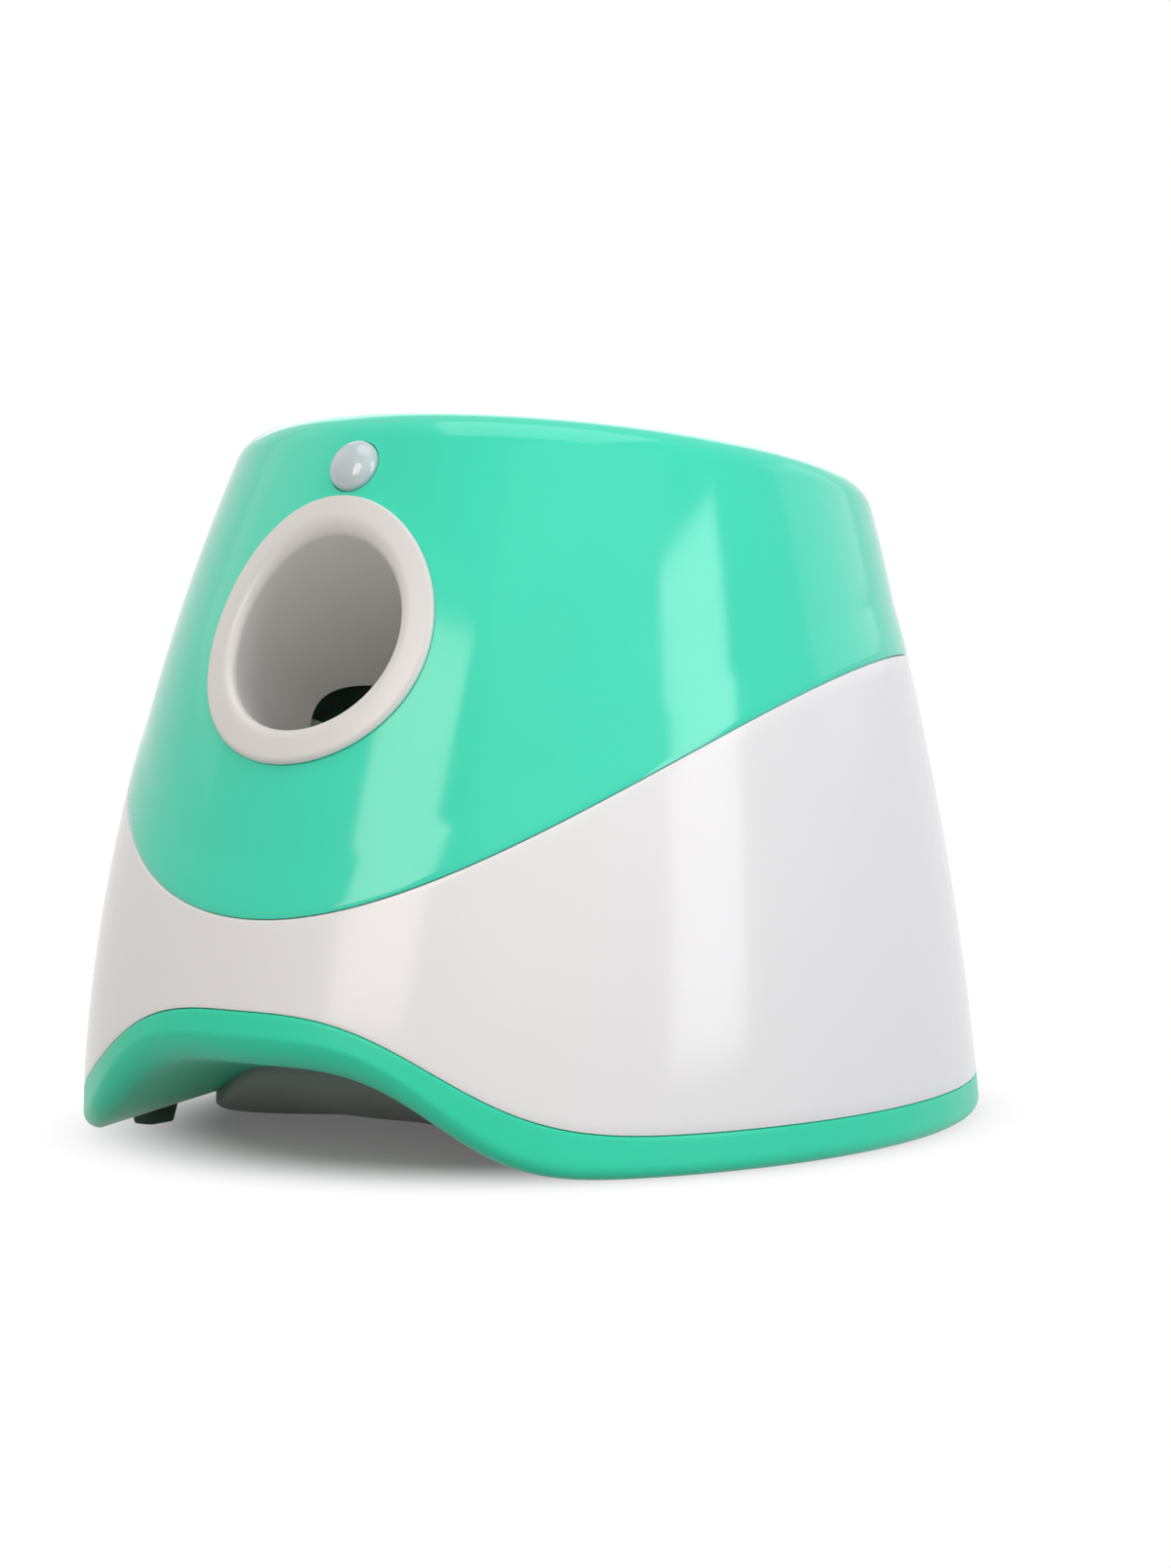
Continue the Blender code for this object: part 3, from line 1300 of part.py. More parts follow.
def pivot_place():
    """Feed pivot in the frame of the launch line."""
    return Vector((0, -ARM_PIVOT_DROP, -BACK_DEPTH - ARM_SETBACK))


def mesh_turn():
    """Direction from the pivot to the pinion, level towards the front, as an angle from local Y to Z."""
    return math.pi / 2 + LAUNCH_RISE


def pinion_place():
    spacing = GEAR_MODULE * (SECTOR_TEETH + PINION_TEETH) / 2
    return pivot_place() + Vector((0, spacing * math.cos(mesh_turn()), spacing * math.sin(mesh_turn())))


def involute(angle):
    return math.tan(angle) - angle


def tooth_flank(teeth):
    """Radius and half angle of one tooth from its root to its tip, an involute above the base circle."""
    pitch = GEAR_MODULE * teeth / 2
    base = pitch * math.cos(PRESSURE_ANGLE)
    root = pitch - DEDENDUM_SHARE * GEAR_MODULE
    tip = pitch + ADDENDUM_SHARE * GEAR_MODULE
    at_pitch = (math.pi * GEAR_MODULE / 2 - BACKLASH) / (2 * pitch)
    start = max(base, root)
    flank = []
    for step in range(FLANK_POINTS):
        radius = start + (tip - start) * step / (FLANK_POINTS - 1)
        at_radius = involute(math.acos(min(base / radius, 1)))
        flank.append((radius, at_pitch + involute(PRESSURE_ANGLE) - at_radius))
    if root < start:
        flank.insert(0, (root, flank[0][1]))
    return flank


def tooth_points(teeth, middle):
    """One tooth round a middle angle, in rising angle."""
    flank = tooth_flank(teeth)
    points = [(radius, middle - half) for radius, half in flank]
    points += [(radius, middle + half) for radius, half in reversed(flank)]
    return [(radius * math.cos(angle), radius * math.sin(angle)) for radius, angle in points]


def sector_outline():
    """Toothed sector on the side of the pinion, with a round hub."""
    pitch_angle = math.tau / SECTOR_TEETH
    outline = []
    for number in range(SECTOR_LAST_TOOTH, SECTOR_FIRST_TOOTH - 1, -1):
        outline += tooth_points(SECTOR_TEETH, mesh_turn() - number * pitch_angle)
    first = mesh_turn() - SECTOR_FIRST_TOOTH * pitch_angle + pitch_angle / 2
    last = mesh_turn() - SECTOR_LAST_TOOTH * pitch_angle - pitch_angle / 2 + math.tau
    for step in range(SMALL_FACETS + 1):
        angle = first + (last - first) * step / SMALL_FACETS
        outline.append((ARM_HUB_RADIUS * math.cos(angle), ARM_HUB_RADIUS * math.sin(angle)))
    return outline


def pinion_outline():
    """All teeth of the pinion, with a space facing the sector."""
    facing = mesh_turn() + math.pi
    outline = []
    for number in range(PINION_TEETH):
        outline += tooth_points(PINION_TEETH, facing + math.pi * (2 * number + 1) / PINION_TEETH)
    return outline


def arm_outline():
    """Feed arm from its round hub to its round head, along local Y."""
    half = ARM_DEPTH / 2
    hub_turn = math.asin(half / ARM_HUB_RADIUS)
    head_turn = math.pi - math.asin(half / ARM_HEAD_RADIUS)
    outline = []
    for step in range(TINY_FACETS + 1):
        angle = hub_turn + (math.tau - 2 * hub_turn) * step / TINY_FACETS
        outline.append((ARM_HUB_RADIUS * math.cos(angle), ARM_HUB_RADIUS * math.sin(angle)))
    for step in range(TINY_FACETS + 1):
        angle = -head_turn + 2 * head_turn * step / TINY_FACETS
        outline.append((ARM_REACH + ARM_HEAD_RADIUS * math.cos(angle), ARM_HEAD_RADIUS * math.sin(angle)))
    return outline


def side_rod(radius, low, high, facets=SMALL_FACETS):
    """A rod along X."""
    return along_x(rod(radius, low, high, facets))


def feed_drive(launch):
    """Arm, sector gear, pinion, pivot pin, bracket and gearmotor."""
    outer = FEED_BRACKET_INNER + FEED_CHEEK
    axle = frame_at("feed_axis", pivot_place(), parent=launch)
    solid("feed_pivot_pin", side_rod(PIN_RADIUS, -outer, outer), "steel", axle)
    half = ARM_WIDTH / 2
    arm = solid("feed_arm", extruded(arm_outline(), -half, half, "X"), "hub_white", axle)
    cut(arm, "arm_bore", side_rod(PIN_RADIUS + GAP, -half - OVERRUN, half + OVERRUN), axle)
    gear_low = half + GAP
    gear_high = gear_low + GEAR_WIDTH
    sector = solid("sector_gear", extruded(sector_outline(), gear_low, gear_high, "X"), "hub_white", axle)
    cut(sector, "sector_bore", side_rod(PIN_RADIUS + GAP, gear_low - OVERRUN, gear_high + OVERRUN), axle)
    pinion_axle = frame_at("pinion_axis", pinion_place(), parent=launch)
    pinion_shape = extruded(pinion_outline(), gear_low, gear_high, "X")
    pinion = solid("feed_pinion", pinion_shape, "hub_white", pinion_axle)
    shaft = side_rod(PINION_SHAFT_RADIUS, gear_high - OVERRUN, outer + SHAFT_SEAT)
    join(pinion, "pinion_shaft", shaft, pinion_axle)
    feed_bracket(outer)
    feed_gearmotor(outer)


def world_place(local):
    """World place of a point in the frame of the launch line."""
    return launch_point(local.x, local.y, -local.z)


def feed_bracket(outer):
    """U bracket on the pan that carries the pivot pin and the gearmotor."""
    pivot = world_place(pivot_place())
    pinion = world_place(pinion_place())
    foot = PAN_BOTTOM + PAN_THICKNESS + GAP
    head = pivot.z + FEED_BRACKET_HEAD
    inner = FEED_BRACKET_INNER
    outline = [(-outer, foot), (outer, foot), (outer, head), (inner, head), (inner, foot + BRACKET_SHEET),
               (-inner, foot + BRACKET_SHEET), (-inner, head), (-outer, head)]
    shape = extruded(outline, pinion.y - FEED_BRACKET_FRONT, pivot.y + FEED_BRACKET_REAR, "Y")
    bracket = solid("feed_bracket", shape, "steel")
    pivot_hole = side_rod(PIN_RADIUS + GAP, -outer - OVERRUN, outer + OVERRUN)
    cut(bracket, "pivot_holes", pivot_hole, place=pivot)
    pinion_hole = side_rod(PINION_SHAFT_RADIUS + GAP, inner - OVERRUN, outer + OVERRUN)
    cut(bracket, "pinion_hole", pinion_hole, place=pinion)


def feed_gearmotor(outer):
    """Gearbox with its small motor, outside the bracket's right cheek."""
    pinion = world_place(pinion_place())
    length, depth, height = GEARBOX_SIZE
    face = outer + GAP
    box = block((face, pinion.y - depth / 2, pinion.z - height / 2),
                (face + length, pinion.y + depth / 2, pinion.z + height / 2))
    gearmotor = solid("feed_gearmotor", box, "plastic_black")
    end = face + length
    can = side_rod(GEARMOTOR_RADIUS, end - OVERRUN, end + GEARMOTOR_LENGTH, ROUND_FACETS)
    join(gearmotor, "gearmotor_can", can, place=(0, pinion.y, pinion.z))
    bore = side_rod(PINION_SHAFT_RADIUS + SHAFT_FIT, face - OVERRUN, face + SHAFT_SEAT)
    cut(gearmotor, "gearmotor_bore", bore, place=(0, pinion.y, pinion.z))


# Motion sensor on the front wall

def motion_sensor():
    """White lens set in the front wall and the board with its sensor can behind it."""
    place = (0, front_y(eye_height()), eye_height())
    eye = frame_at("eye_frame", place, outward_turn_front(eye_height()))
    flange_top = -WALL - EYE_FLANGE_SINK
    flange_bottom = flange_top - EYE_FLANGE
    turns = [math.radians(angle) for angle in (90, 60, 30, 0)]
    profile = [(EYE_RADIUS * math.cos(turn), EYE_DOME * math.sin(turn)) for turn in turns]
    profile[0] = (0, EYE_DOME)
    inner = EYE_RADIUS - EYE_SKIN
    dome = EYE_DOME - EYE_SKIN
    profile += [(EYE_RADIUS, flange_top), (EYE_FLANGE_RADIUS, flange_top),
                (EYE_FLANGE_RADIUS, flange_bottom), (inner, flange_bottom), (inner, 0)]
    profile += [(inner * math.cos(turn), dome * math.sin(turn)) for turn in reversed(turns[1:-1])]
    profile.append((0, dome))
    solid("motion_lens", turned(profile, ROUND_FACETS), "lens_white", eye)
    top = flange_bottom - GAP
    half = EYE_RADIUS + EYE_BOARD_MARGIN
    shape = block((-half, -half, top - BOARD), (half, half, top))
    board = solid("motion_board", shape, "board_green", eye)
    can = rod(EYE_CAN_RADIUS, top - BOARD / 2, top + EYE_CAN_HEIGHT, SMALL_FACETS)
    join(board, "sensor_can", can, eye)


# Rear panel: push button, light pipes and power inlet

def rear_panel():
    """Push button with its switch board and three light pipes above it."""
    panel = frame_at("button_frame", panel_place(), outward_turn_rear(button_height()))
    collar_top = -WALL - BUTTON_TRAVEL / 2
    collar = BUTTON_RADIUS + BUTTON_COLLAR
    profile = [(0, BUTTON_PROUD), (BUTTON_RADIUS - BUTTON_ROUND, BUTTON_PROUD),
               (BUTTON_RADIUS, BUTTON_PROUD - BUTTON_ROUND), (BUTTON_RADIUS, collar_top), (collar, collar_top),
               (collar, collar_top - BUTTON_COLLAR), (BUTTON_RADIUS, collar_top - BUTTON_COLLAR),
               (BUTTON_RADIUS - BUTTON_COLLAR, -BUTTON_DEPTH), (0, -BUTTON_DEPTH)]
    solid("push_button", turned(profile, ROUND_FACETS), "button_grey", panel)
    face = -board_depth()
    board = block((-BUTTON_BOARD_HALF, -BUTTON_BOARD_UP, face - BOARD),
                  (BUTTON_BOARD_HALF, BUTTON_BOARD_DOWN, face))
    solid("button_board", board, "board_green", panel)
    half = BUTTON_SWITCH_HALF
    switch = block((-half, -half, face + GAP), (half, half, face + GAP + BUTTON_SWITCH_HEIGHT))
    solid("button_switch", switch, "plastic_black", panel)
    flange = -WALL - LIGHT_FLANGE
    flange_top = flange + LIGHT_FLANGE / 2
    wide = LIGHT_RADIUS + LIGHT_FLANGE
    for number, spot in enumerate(light_places(), 1):
        foot = face + GAP - spot[2]
        pipe = [(0, LIGHT_PROUD), (LIGHT_RADIUS, LIGHT_PROUD), (LIGHT_RADIUS, flange_top),
                (wide, flange_top), (wide, flange), (LIGHT_RADIUS, flange),
                (LIGHT_RADIUS, foot), (0, foot)]
        solid(f"light_pipe_{number}", turned(pipe, TINY_FACETS), "light_clear", panel, spot)


def power_inlet():
    """Round power inlet low in the rear wall, held by a nut."""
    place = (0, rear_y(JACK_HEIGHT), JACK_HEIGHT)
    jack = frame_at("jack_frame", place, outward_turn_rear(JACK_HEIGHT))
    rim = GAP + JACK_FLANGE
    floor = JACK_FLOOR - JACK_LENGTH
    profile = [(0, -JACK_FLANGE), (JACK_PIN_RADIUS, -JACK_FLANGE), (JACK_PIN_RADIUS, floor),
               (JACK_BORE_RADIUS, floor), (JACK_BORE_RADIUS, rim), (JACK_FLANGE_RADIUS, rim),
               (JACK_FLANGE_RADIUS, GAP), (JACK_RADIUS, GAP), (JACK_RADIUS, -JACK_LENGTH),
               (0, -JACK_LENGTH)]
    solid("power_inlet", turned(profile, SMALL_FACETS), "plastic_black", jack)
    top = -WALL - JACK_FLANGE / 2
    ring = [(JACK_RADIUS + GAP, top), (NUT_RADIUS, top), (NUT_RADIUS, top - NUT_HEIGHT),
            (JACK_RADIUS + GAP, top - NUT_HEIGHT)]
    solid("inlet_nut", turned(ring, TINY_FACETS, closed=True), "nickel", jack)


def main_board():
    """Circuit board on the battery box's standoffs, with a chip, a socket for the leads and a sounder."""
    (left, front), (right, rear) = board_edges()
    bottom = box_high()[2] + STANDOFF_HEIGHT + GAP
    top = bottom + BOARD
    board = solid("main_board", block((left, front, bottom), (right, rear, top)), "board_green")
    centre_x = (left + right) / 2
    centre_y = (front + rear) / 2
    width, depth, height = CHIP_SIZE
    chip = block((centre_x - width / 2, centre_y - depth / 2, bottom + BOARD / 2),
                 (centre_x + width / 2, centre_y + depth / 2, top + height))
    width, depth, height = HEADER_SIZE
    header = block((centre_x - width / 2, rear - 2 * depth, bottom + BOARD / 2),
                   (centre_x + width / 2, rear - depth, top + height))
    join(board, "board_parts", gathered([chip, header]))
    sounder = rod(SOUNDER_RADIUS, GAP, SOUNDER_HEIGHT, SMALL_FACETS)
    solid("sounder", sounder, "plastic_black", place=(right - 2 * SOUNDER_RADIUS, centre_y, top))


def door_screws():
    """Two screws up through the battery door into the battery box's rim."""
    profile = [(0, PAN_BOTTOM + DOOR_THICKNESS), (SCREW_RADIUS, PAN_BOTTOM + DOOR_THICKNESS),
               (SCREW_RADIUS, PAN_BOTTOM - GAP), (SCREW_HEAD_RADIUS, PAN_BOTTOM - GAP),
               (SCREW_HEAD_RADIUS / 2, PAN_BOTTOM - GAP - SCREW_HEAD_HEIGHT),
               (0, PAN_BOTTOM - GAP - SCREW_HEAD_HEIGHT)]
    for number, place in enumerate(door_screw_places(), 1):
        solid(f"door_screw_{number}", turned(profile, TINY_FACETS), "steel", place=place)


def main():
    for item in list(bpy.data.objects):
        bpy.data.objects.remove(item, do_unlink=True)
    launch = frame_at("launch_frame", mouth_place(), mouth_turn())
    upper_shell()
    lower_shell()
    base_skirt()
    case_screws()
    feet()
    floor_pan()
    battery_box()
    cells()
    contacts()
    battery_door()
    door_screws()
    hopper_bowl()
    launch_tube(launch)
    throwing_wheels(launch)
    launch_chamber(launch)
    ball_sensor(launch)
    feed_drive(launch)
    motion_sensor()
    rear_panel()
    power_inlet()
    main_board()


main()
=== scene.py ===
"""Looks of an automatic dog ball launcher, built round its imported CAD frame.

Every outer piece is rebuilt as a fine mesh on the same surfaces as its solid. Parts that only
show through an opening keep their solids and get a rounded edge and a finish.
"""

from __future__ import annotations

import json
import logging
import math
from dataclasses import dataclass, field
from enum import Enum
from operator import mul
from typing import Callable, ClassVar, Sequence

import bpy
import numpy as np
from mathutils import Matrix, Vector
from mathutils.bvhtree import BVHTree
from mathutils.interpolate import poly_3d_calc

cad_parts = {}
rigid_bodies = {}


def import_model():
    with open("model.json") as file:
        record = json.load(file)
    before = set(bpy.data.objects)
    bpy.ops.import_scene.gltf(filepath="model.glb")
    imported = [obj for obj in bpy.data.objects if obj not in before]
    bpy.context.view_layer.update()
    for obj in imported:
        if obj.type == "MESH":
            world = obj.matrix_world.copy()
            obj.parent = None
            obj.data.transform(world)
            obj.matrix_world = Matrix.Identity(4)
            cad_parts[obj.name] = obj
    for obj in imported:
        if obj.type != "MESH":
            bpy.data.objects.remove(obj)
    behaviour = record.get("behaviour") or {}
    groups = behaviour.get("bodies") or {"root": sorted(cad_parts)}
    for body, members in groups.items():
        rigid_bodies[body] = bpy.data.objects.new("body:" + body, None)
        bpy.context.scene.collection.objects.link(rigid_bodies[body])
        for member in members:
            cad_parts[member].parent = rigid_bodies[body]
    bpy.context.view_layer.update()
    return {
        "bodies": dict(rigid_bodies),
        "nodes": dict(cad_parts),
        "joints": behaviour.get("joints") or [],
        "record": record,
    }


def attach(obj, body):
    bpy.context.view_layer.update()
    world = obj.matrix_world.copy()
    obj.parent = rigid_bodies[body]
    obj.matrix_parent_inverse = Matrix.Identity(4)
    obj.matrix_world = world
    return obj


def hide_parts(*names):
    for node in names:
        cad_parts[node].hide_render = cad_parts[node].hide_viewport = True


LOG = logging.getLogger("ball_launcher")
MM = 0.001
GAP = 0.0003  # between pieces that meet
WALL = 0.0026  # of the casing
LIP = 0.0011  # outer part of the wall, which covers the next piece's tongue
LAP = 0.003  # height of lip and tongue
OVERCUT = 0.002  # how far a cutter stands past what it cuts
AXIS = 0.0002  # smallest radius of a turned piece, in place of a point
WELD_REACH = 1e-6
SHARP_ANGLE = math.radians(32)  # edges that bend by more stay sharp
TURN = math.tau

Ring = np.ndarray
Profile = list[tuple[float, float]]
Stations = list[tuple[float, np.ndarray]]
Height = Callable[[np.ndarray], np.ndarray]


class Slot(Enum):
    """Material slots of the record."""

    SHELL_GREEN = "shell_green"
    BASE_GREEN = "base_green"
    SHELL_WHITE = "shell_white"
    RING_WHITE = "ring_white"
    CHAMBER_GREEN = "chamber_green"
    BASE_GREY = "base_grey"
    TYRE = "tyre_grey"
    RUBBER = "rubber_green"
    HUB_WHITE = "hub_white"
    PLASTIC_BLACK = "plastic_black"
    STEEL = "steel"
    NICKEL = "nickel"
    BOARD_GREEN = "board_green"
    LENS_WHITE = "lens_white"
    BUTTON_GREY = "button_grey"
    LIGHT_CLEAR = "light_clear"
    CELL_JACKET = "cell_jacket"


class Body(Enum):
    """Bodies of the frame that rebuilt pieces ride on."""

    ROOT = "root"
    WHEEL_LEFT = "wheel_left"
    WHEEL_RIGHT = "wheel_right"
    BUTTON = "button"


# Colours and nodes


def linear(colour: str) -> tuple[float, float, float, float]:
    """Turns an sRGB hex colour to the linear values that shaders take.

    Args:
        colour: Six hex digits after a hash sign.

    Returns:
        Red, green, blue and an alpha of one.
    """
    channels = [int(colour[place : place + 2], 16) / 255 for place in (1, 3, 5)]
    red, green, blue = (
        value / 12.92 if value <= 0.04045 else ((value + 0.055) / 1.055) ** 2.4 for value in channels
    )
    return (red, green, blue, 1.0)


def per_metre(millimetres: float) -> float:
    """Scale of a pattern whose features lie that many millimetres apart."""
    return 1000 / millimetres


def add_node(
    tree: bpy.types.NodeTree, kind: str, inputs: dict | None = None, **settings: object
) -> bpy.types.Node:
    """Adds a node with its settings, socket values and links.

    Args:
        tree: Node tree that gets the node.
        kind: Blender's name of the node type.
        inputs: Values, or output sockets to link from, by the input's name or number.
        **settings: Properties of the node itself.

    Returns:
        The new node.
    """
    node = tree.nodes.new(kind)
    for name, value in settings.items():
        setattr(node, name, value)
    for key, value in (inputs or {}).items():
        if isinstance(value, bpy.types.NodeSocket):
            tree.links.new(value, node.inputs[key])
        else:
            node.inputs[key].default_value = value
    return node


# Finishes


@dataclass(frozen=True)
class Finish:
    """A surface as its maker would name it; subclasses add what the eye sees in it."""

    slot: Slot
    colour: str
    roughness: float
    ior: float = 1.5
    metallic: float = 0.0
    sockets: tuple[tuple[str, object], ...] = ()

    def detail(self, tree: bpy.types.NodeTree, place: bpy.types.NodeSocket) -> dict:
        """Nodes for colour, roughness and relief.

        Args:
            tree: The material's node tree.
            place: Position on the piece, in metres.

        Returns:
            Sockets to link to the shader, by the name of its input.
        """
        raise NotImplementedError

    def material(self) -> bpy.types.Material:
        """Builds the finish's node material.

        Returns:
            The material.
        """
        material = bpy.data.materials.new("finish_" + self.slot.value)
        material.use_nodes = True
        tree = material.node_tree
        tree.nodes.clear()
        place = add_node(tree, "ShaderNodeTexCoord").outputs["Object"]
        values = {"Base Color": linear(self.colour), "Roughness": self.roughness}
        values.update({"Metallic": self.metallic, **dict(self.sockets)})
        if not self.metallic:
            values["IOR"] = self.ior
        values.update(self.detail(tree, place))
        shader = add_node(tree, "ShaderNodeBsdfPrincipled", values)
        add_node(tree, "ShaderNodeOutputMaterial", {"Surface": shader.outputs["BSDF"]})
        return material


@dataclass(frozen=True)
class Moulded(Finish):
    """Injection-moulded plastic: slow pigment clouding, a mould skin and uneven gloss."""

    clouding: float = 0.04
    cloud_mm: float = 45.0
    skin_mm: float = 2.4
    skin_depth_mm: float = 0.0015
    gloss_mm: float = 14.0
    gloss_swing: float = 0.05

    def detail(self, tree: bpy.types.NodeTree, place: bpy.types.NodeSocket) -> dict:
        """Clouded colour, a skin of shallow relief, and gloss that varies slowly.

        Args:
            tree: The material's node tree.
            place: Position on the piece, in metres.

        Returns:
            Sockets to link to the shader, by the name of its input.
        """
        cloud = add_node(
            tree, "ShaderNodeTexNoise", {"Vector": place, "Scale": per_metre(self.cloud_mm), "Detail": 3.0}
        )
        shade = add_node(
            tree,
            "ShaderNodeMapRange",
            {"Value": cloud.outputs["Fac"], "To Min": 1 - self.clouding, "To Max": 1 + self.clouding},
        )
        colour = add_node(
            tree,
            "ShaderNodeHueSaturation",
            {"Value": shade.outputs["Result"], "Color": linear(self.colour)},
        )
        gloss = add_node(
            tree, "ShaderNodeTexNoise", {"Vector": place, "Scale": per_metre(self.gloss_mm), "Detail": 5.0}
        )
        rough = add_node(
            tree,
            "ShaderNodeMapRange",
            {
                "Value": gloss.outputs["Fac"],
                "To Min": max(self.roughness - self.gloss_swing, 0.02),
                "To Max": self.roughness + self.gloss_swing,
            },
        )
        skin = add_node(
            tree, "ShaderNodeTexNoise", {"Vector": place, "Scale": per_metre(self.skin_mm), "Detail": 2.0}
        )
        relief = add_node(
            tree,
            "ShaderNodeBump",
            {"Strength": 1.0, "Distance": self.skin_depth_mm * MM, "Height": skin.outputs["Fac"]},
        )
        return {
            "Base Color": colour.outputs["Color"],
            "Roughness": rough.outputs["Result"],
            "Normal": relief.outputs["Normal"],
        }


@dataclass(frozen=True)
class Elastomer(Moulded):
    """Moulded rubber: fine pores and a dusty bloom in place of gloss."""

    pore_mm: float = 0.9
    pore_depth_mm: float = 0.03
    bloom: str = "#D8DAD2"
    bloom_share: float = 0.35
    bloom_mm: float = 9.0

    def detail(self, tree: bpy.types.NodeTree, place: bpy.types.NodeSocket) -> dict:
        """Pores as small pits, and pale bloom in patches.

        Args:
            tree: The material's node tree.
            place: Position on the piece, in metres.

        Returns:
            Sockets to link to the shader, by the name of its input.
        """
        links = Moulded.detail(self, tree, place)
        pores = add_node(
            tree, "ShaderNodeTexVoronoi", {"Vector": place, "Scale": per_metre(self.pore_mm)}
        )
        relief = add_node(
            tree,
            "ShaderNodeBump",
            {
                "Strength": 0.6,
                "Distance": self.pore_depth_mm * MM,
                "Height": pores.outputs["Distance"],
                "Normal": links["Normal"],
            },
        )
        patches = add_node(
            tree, "ShaderNodeTexNoise", {"Vector": place, "Scale": per_metre(self.bloom_mm), "Detail": 6.0}
        )
        share = add_node(
            tree,
            "ShaderNodeMapRange",
            {"Value": patches.outputs["Fac"], "From Min": 0.45, "From Max": 0.7, "To Max": self.bloom_share},
        )
        colour = add_node(
            tree,
            "ShaderNodeMix",
            {0: share.outputs["Result"], 6: links["Base Color"], 7: linear(self.bloom)},
            data_type="RGBA",
        )
        return {**links, "Base Color": colour.outputs[2], "Normal": relief.outputs["Normal"]}


@dataclass(frozen=True)
class PlatedMetal(Finish):
    """Plated metal: fine drawn scratches and faint clouding of the plate."""

    scratch_mm: float = 0.12
    stretch: float = 24.0
    cloud_mm: float = 3.0
    swing: float = 0.12

    def detail(self, tree: bpy.types.NodeTree, place: bpy.types.NodeSocket) -> dict:
        """Scratches drawn out along one way, and a plate that dulls in clouds.

        Args:
            tree: The material's node tree.
            place: Position on the piece, in metres.

        Returns:
            Sockets to link to the shader, by the name of its input.
        """
        along = (1.0, 1.0, 1 / self.stretch)
        drawn = add_node(tree, "ShaderNodeMapping", {"Vector": place, "Scale": along})
        scratch = add_node(
            tree,
            "ShaderNodeTexNoise",
            {"Vector": drawn.outputs["Vector"], "Scale": per_metre(self.scratch_mm), "Detail": 2.0},
        )
        cloud = add_node(
            tree, "ShaderNodeTexNoise", {"Vector": place, "Scale": per_metre(self.cloud_mm), "Detail": 4.0}
        )
        rough = add_node(
            tree,
            "ShaderNodeMapRange",
            {
                "Value": cloud.outputs["Fac"],
                "To Min": self.roughness - self.swing,
                "To Max": self.roughness + self.swing,
            },
        )
        shade = add_node(
            tree,
            "ShaderNodeMapRange",
            {"Value": cloud.outputs["Fac"], "To Min": 0.88, "To Max": 1.08},
        )
        colour = add_node(
            tree,
            "ShaderNodeHueSaturation",
            {"Value": shade.outputs["Result"], "Color": linear(self.colour)},
        )
        scored = {"Strength": 0.25, "Distance": 0.01 * MM, "Height": scratch.outputs["Fac"]}
        relief = add_node(tree, "ShaderNodeBump", scored)
        return {
            "Base Color": colour.outputs["Color"],
            "Roughness": rough.outputs["Result"],
            "Normal": relief.outputs["Normal"],
        }


@dataclass(frozen=True)
class GlassFibreBoard(Finish):
    """Glass-fibre board under solder mask: tracks, tinned pads and the weave beneath."""

    track_mm: float = 2.2
    weave_mm: float = 0.8
    pad: str = "#C9C7BE"

    def detail(self, tree: bpy.types.NodeTree, place: bpy.types.NodeSocket) -> dict:
        """Tracks as square cells' borders, a pad in some cells, and woven relief.

        Args:
            tree: The material's node tree.
            place: Position on the piece, in metres.

        Returns:
            Sockets to link to the shader, by the name of its input.
        """
        cells = add_node(
            tree,
            "ShaderNodeTexVoronoi",
            {"Vector": place, "Scale": per_metre(self.track_mm), "Randomness": 0.6},
            distance="CHEBYCHEV",
        )
        pads = add_node(
            tree,
            "ShaderNodeMapRange",
            {0: cells.outputs["Distance"], 1: 0.16, 2: 0.2, 3: 1.0, 4: 0.0},
        )
        tracks = add_node(
            tree,
            "ShaderNodeMapRange",
            {0: cells.outputs["Distance"], 1: 0.42, 2: 0.5, 3: 1.0, 4: 1.5},
        )
        mask = add_node(
            tree,
            "ShaderNodeHueSaturation",
            {"Value": tracks.outputs["Result"], "Color": linear(self.colour)},
        )
        colour = add_node(
            tree,
            "ShaderNodeMix",
            {0: pads.outputs["Result"], 6: mask.outputs["Color"], 7: linear(self.pad)},
            data_type="RGBA",
        )
        weave = add_node(tree, "ShaderNodeTexMagic", {"Vector": place, "Scale": per_metre(self.weave_mm) / 2})
        relief = add_node(
            tree, "ShaderNodeBump", {"Strength": 0.3, "Distance": 0.02 * MM, "Height": weave.outputs["Fac"]}
        )
        return {"Base Color": colour.outputs[2], "Normal": relief.outputs["Normal"]}


@dataclass(frozen=True)
class SensorLens(Moulded):
    """Polyethylene motion-sensor window: milky, with small moulded lenses inside."""

    facet_mm: float = 3.2

    def detail(self, tree: bpy.types.NodeTree, place: bpy.types.NodeSocket) -> dict:
        """Faint creases where the moulded lenses meet.

        Args:
            tree: The material's node tree.
            place: Position on the piece, in metres.

        Returns:
            Sockets to link to the shader, by the name of its input.
        """
        links = Moulded.detail(self, tree, place)
        lenses = add_node(
            tree,
            "ShaderNodeTexVoronoi",
            {"Vector": place, "Scale": per_metre(self.facet_mm), "Randomness": 0.25},
            feature="DISTANCE_TO_EDGE",
        )
        relief = add_node(
            tree,
            "ShaderNodeBump",
            {
                "Strength": 0.7,
                "Distance": 0.12 * MM,
                "Height": lenses.outputs["Distance"],
                "Normal": links["Normal"],
            },
        )
        return {**links, "Normal": relief.outputs["Normal"]}


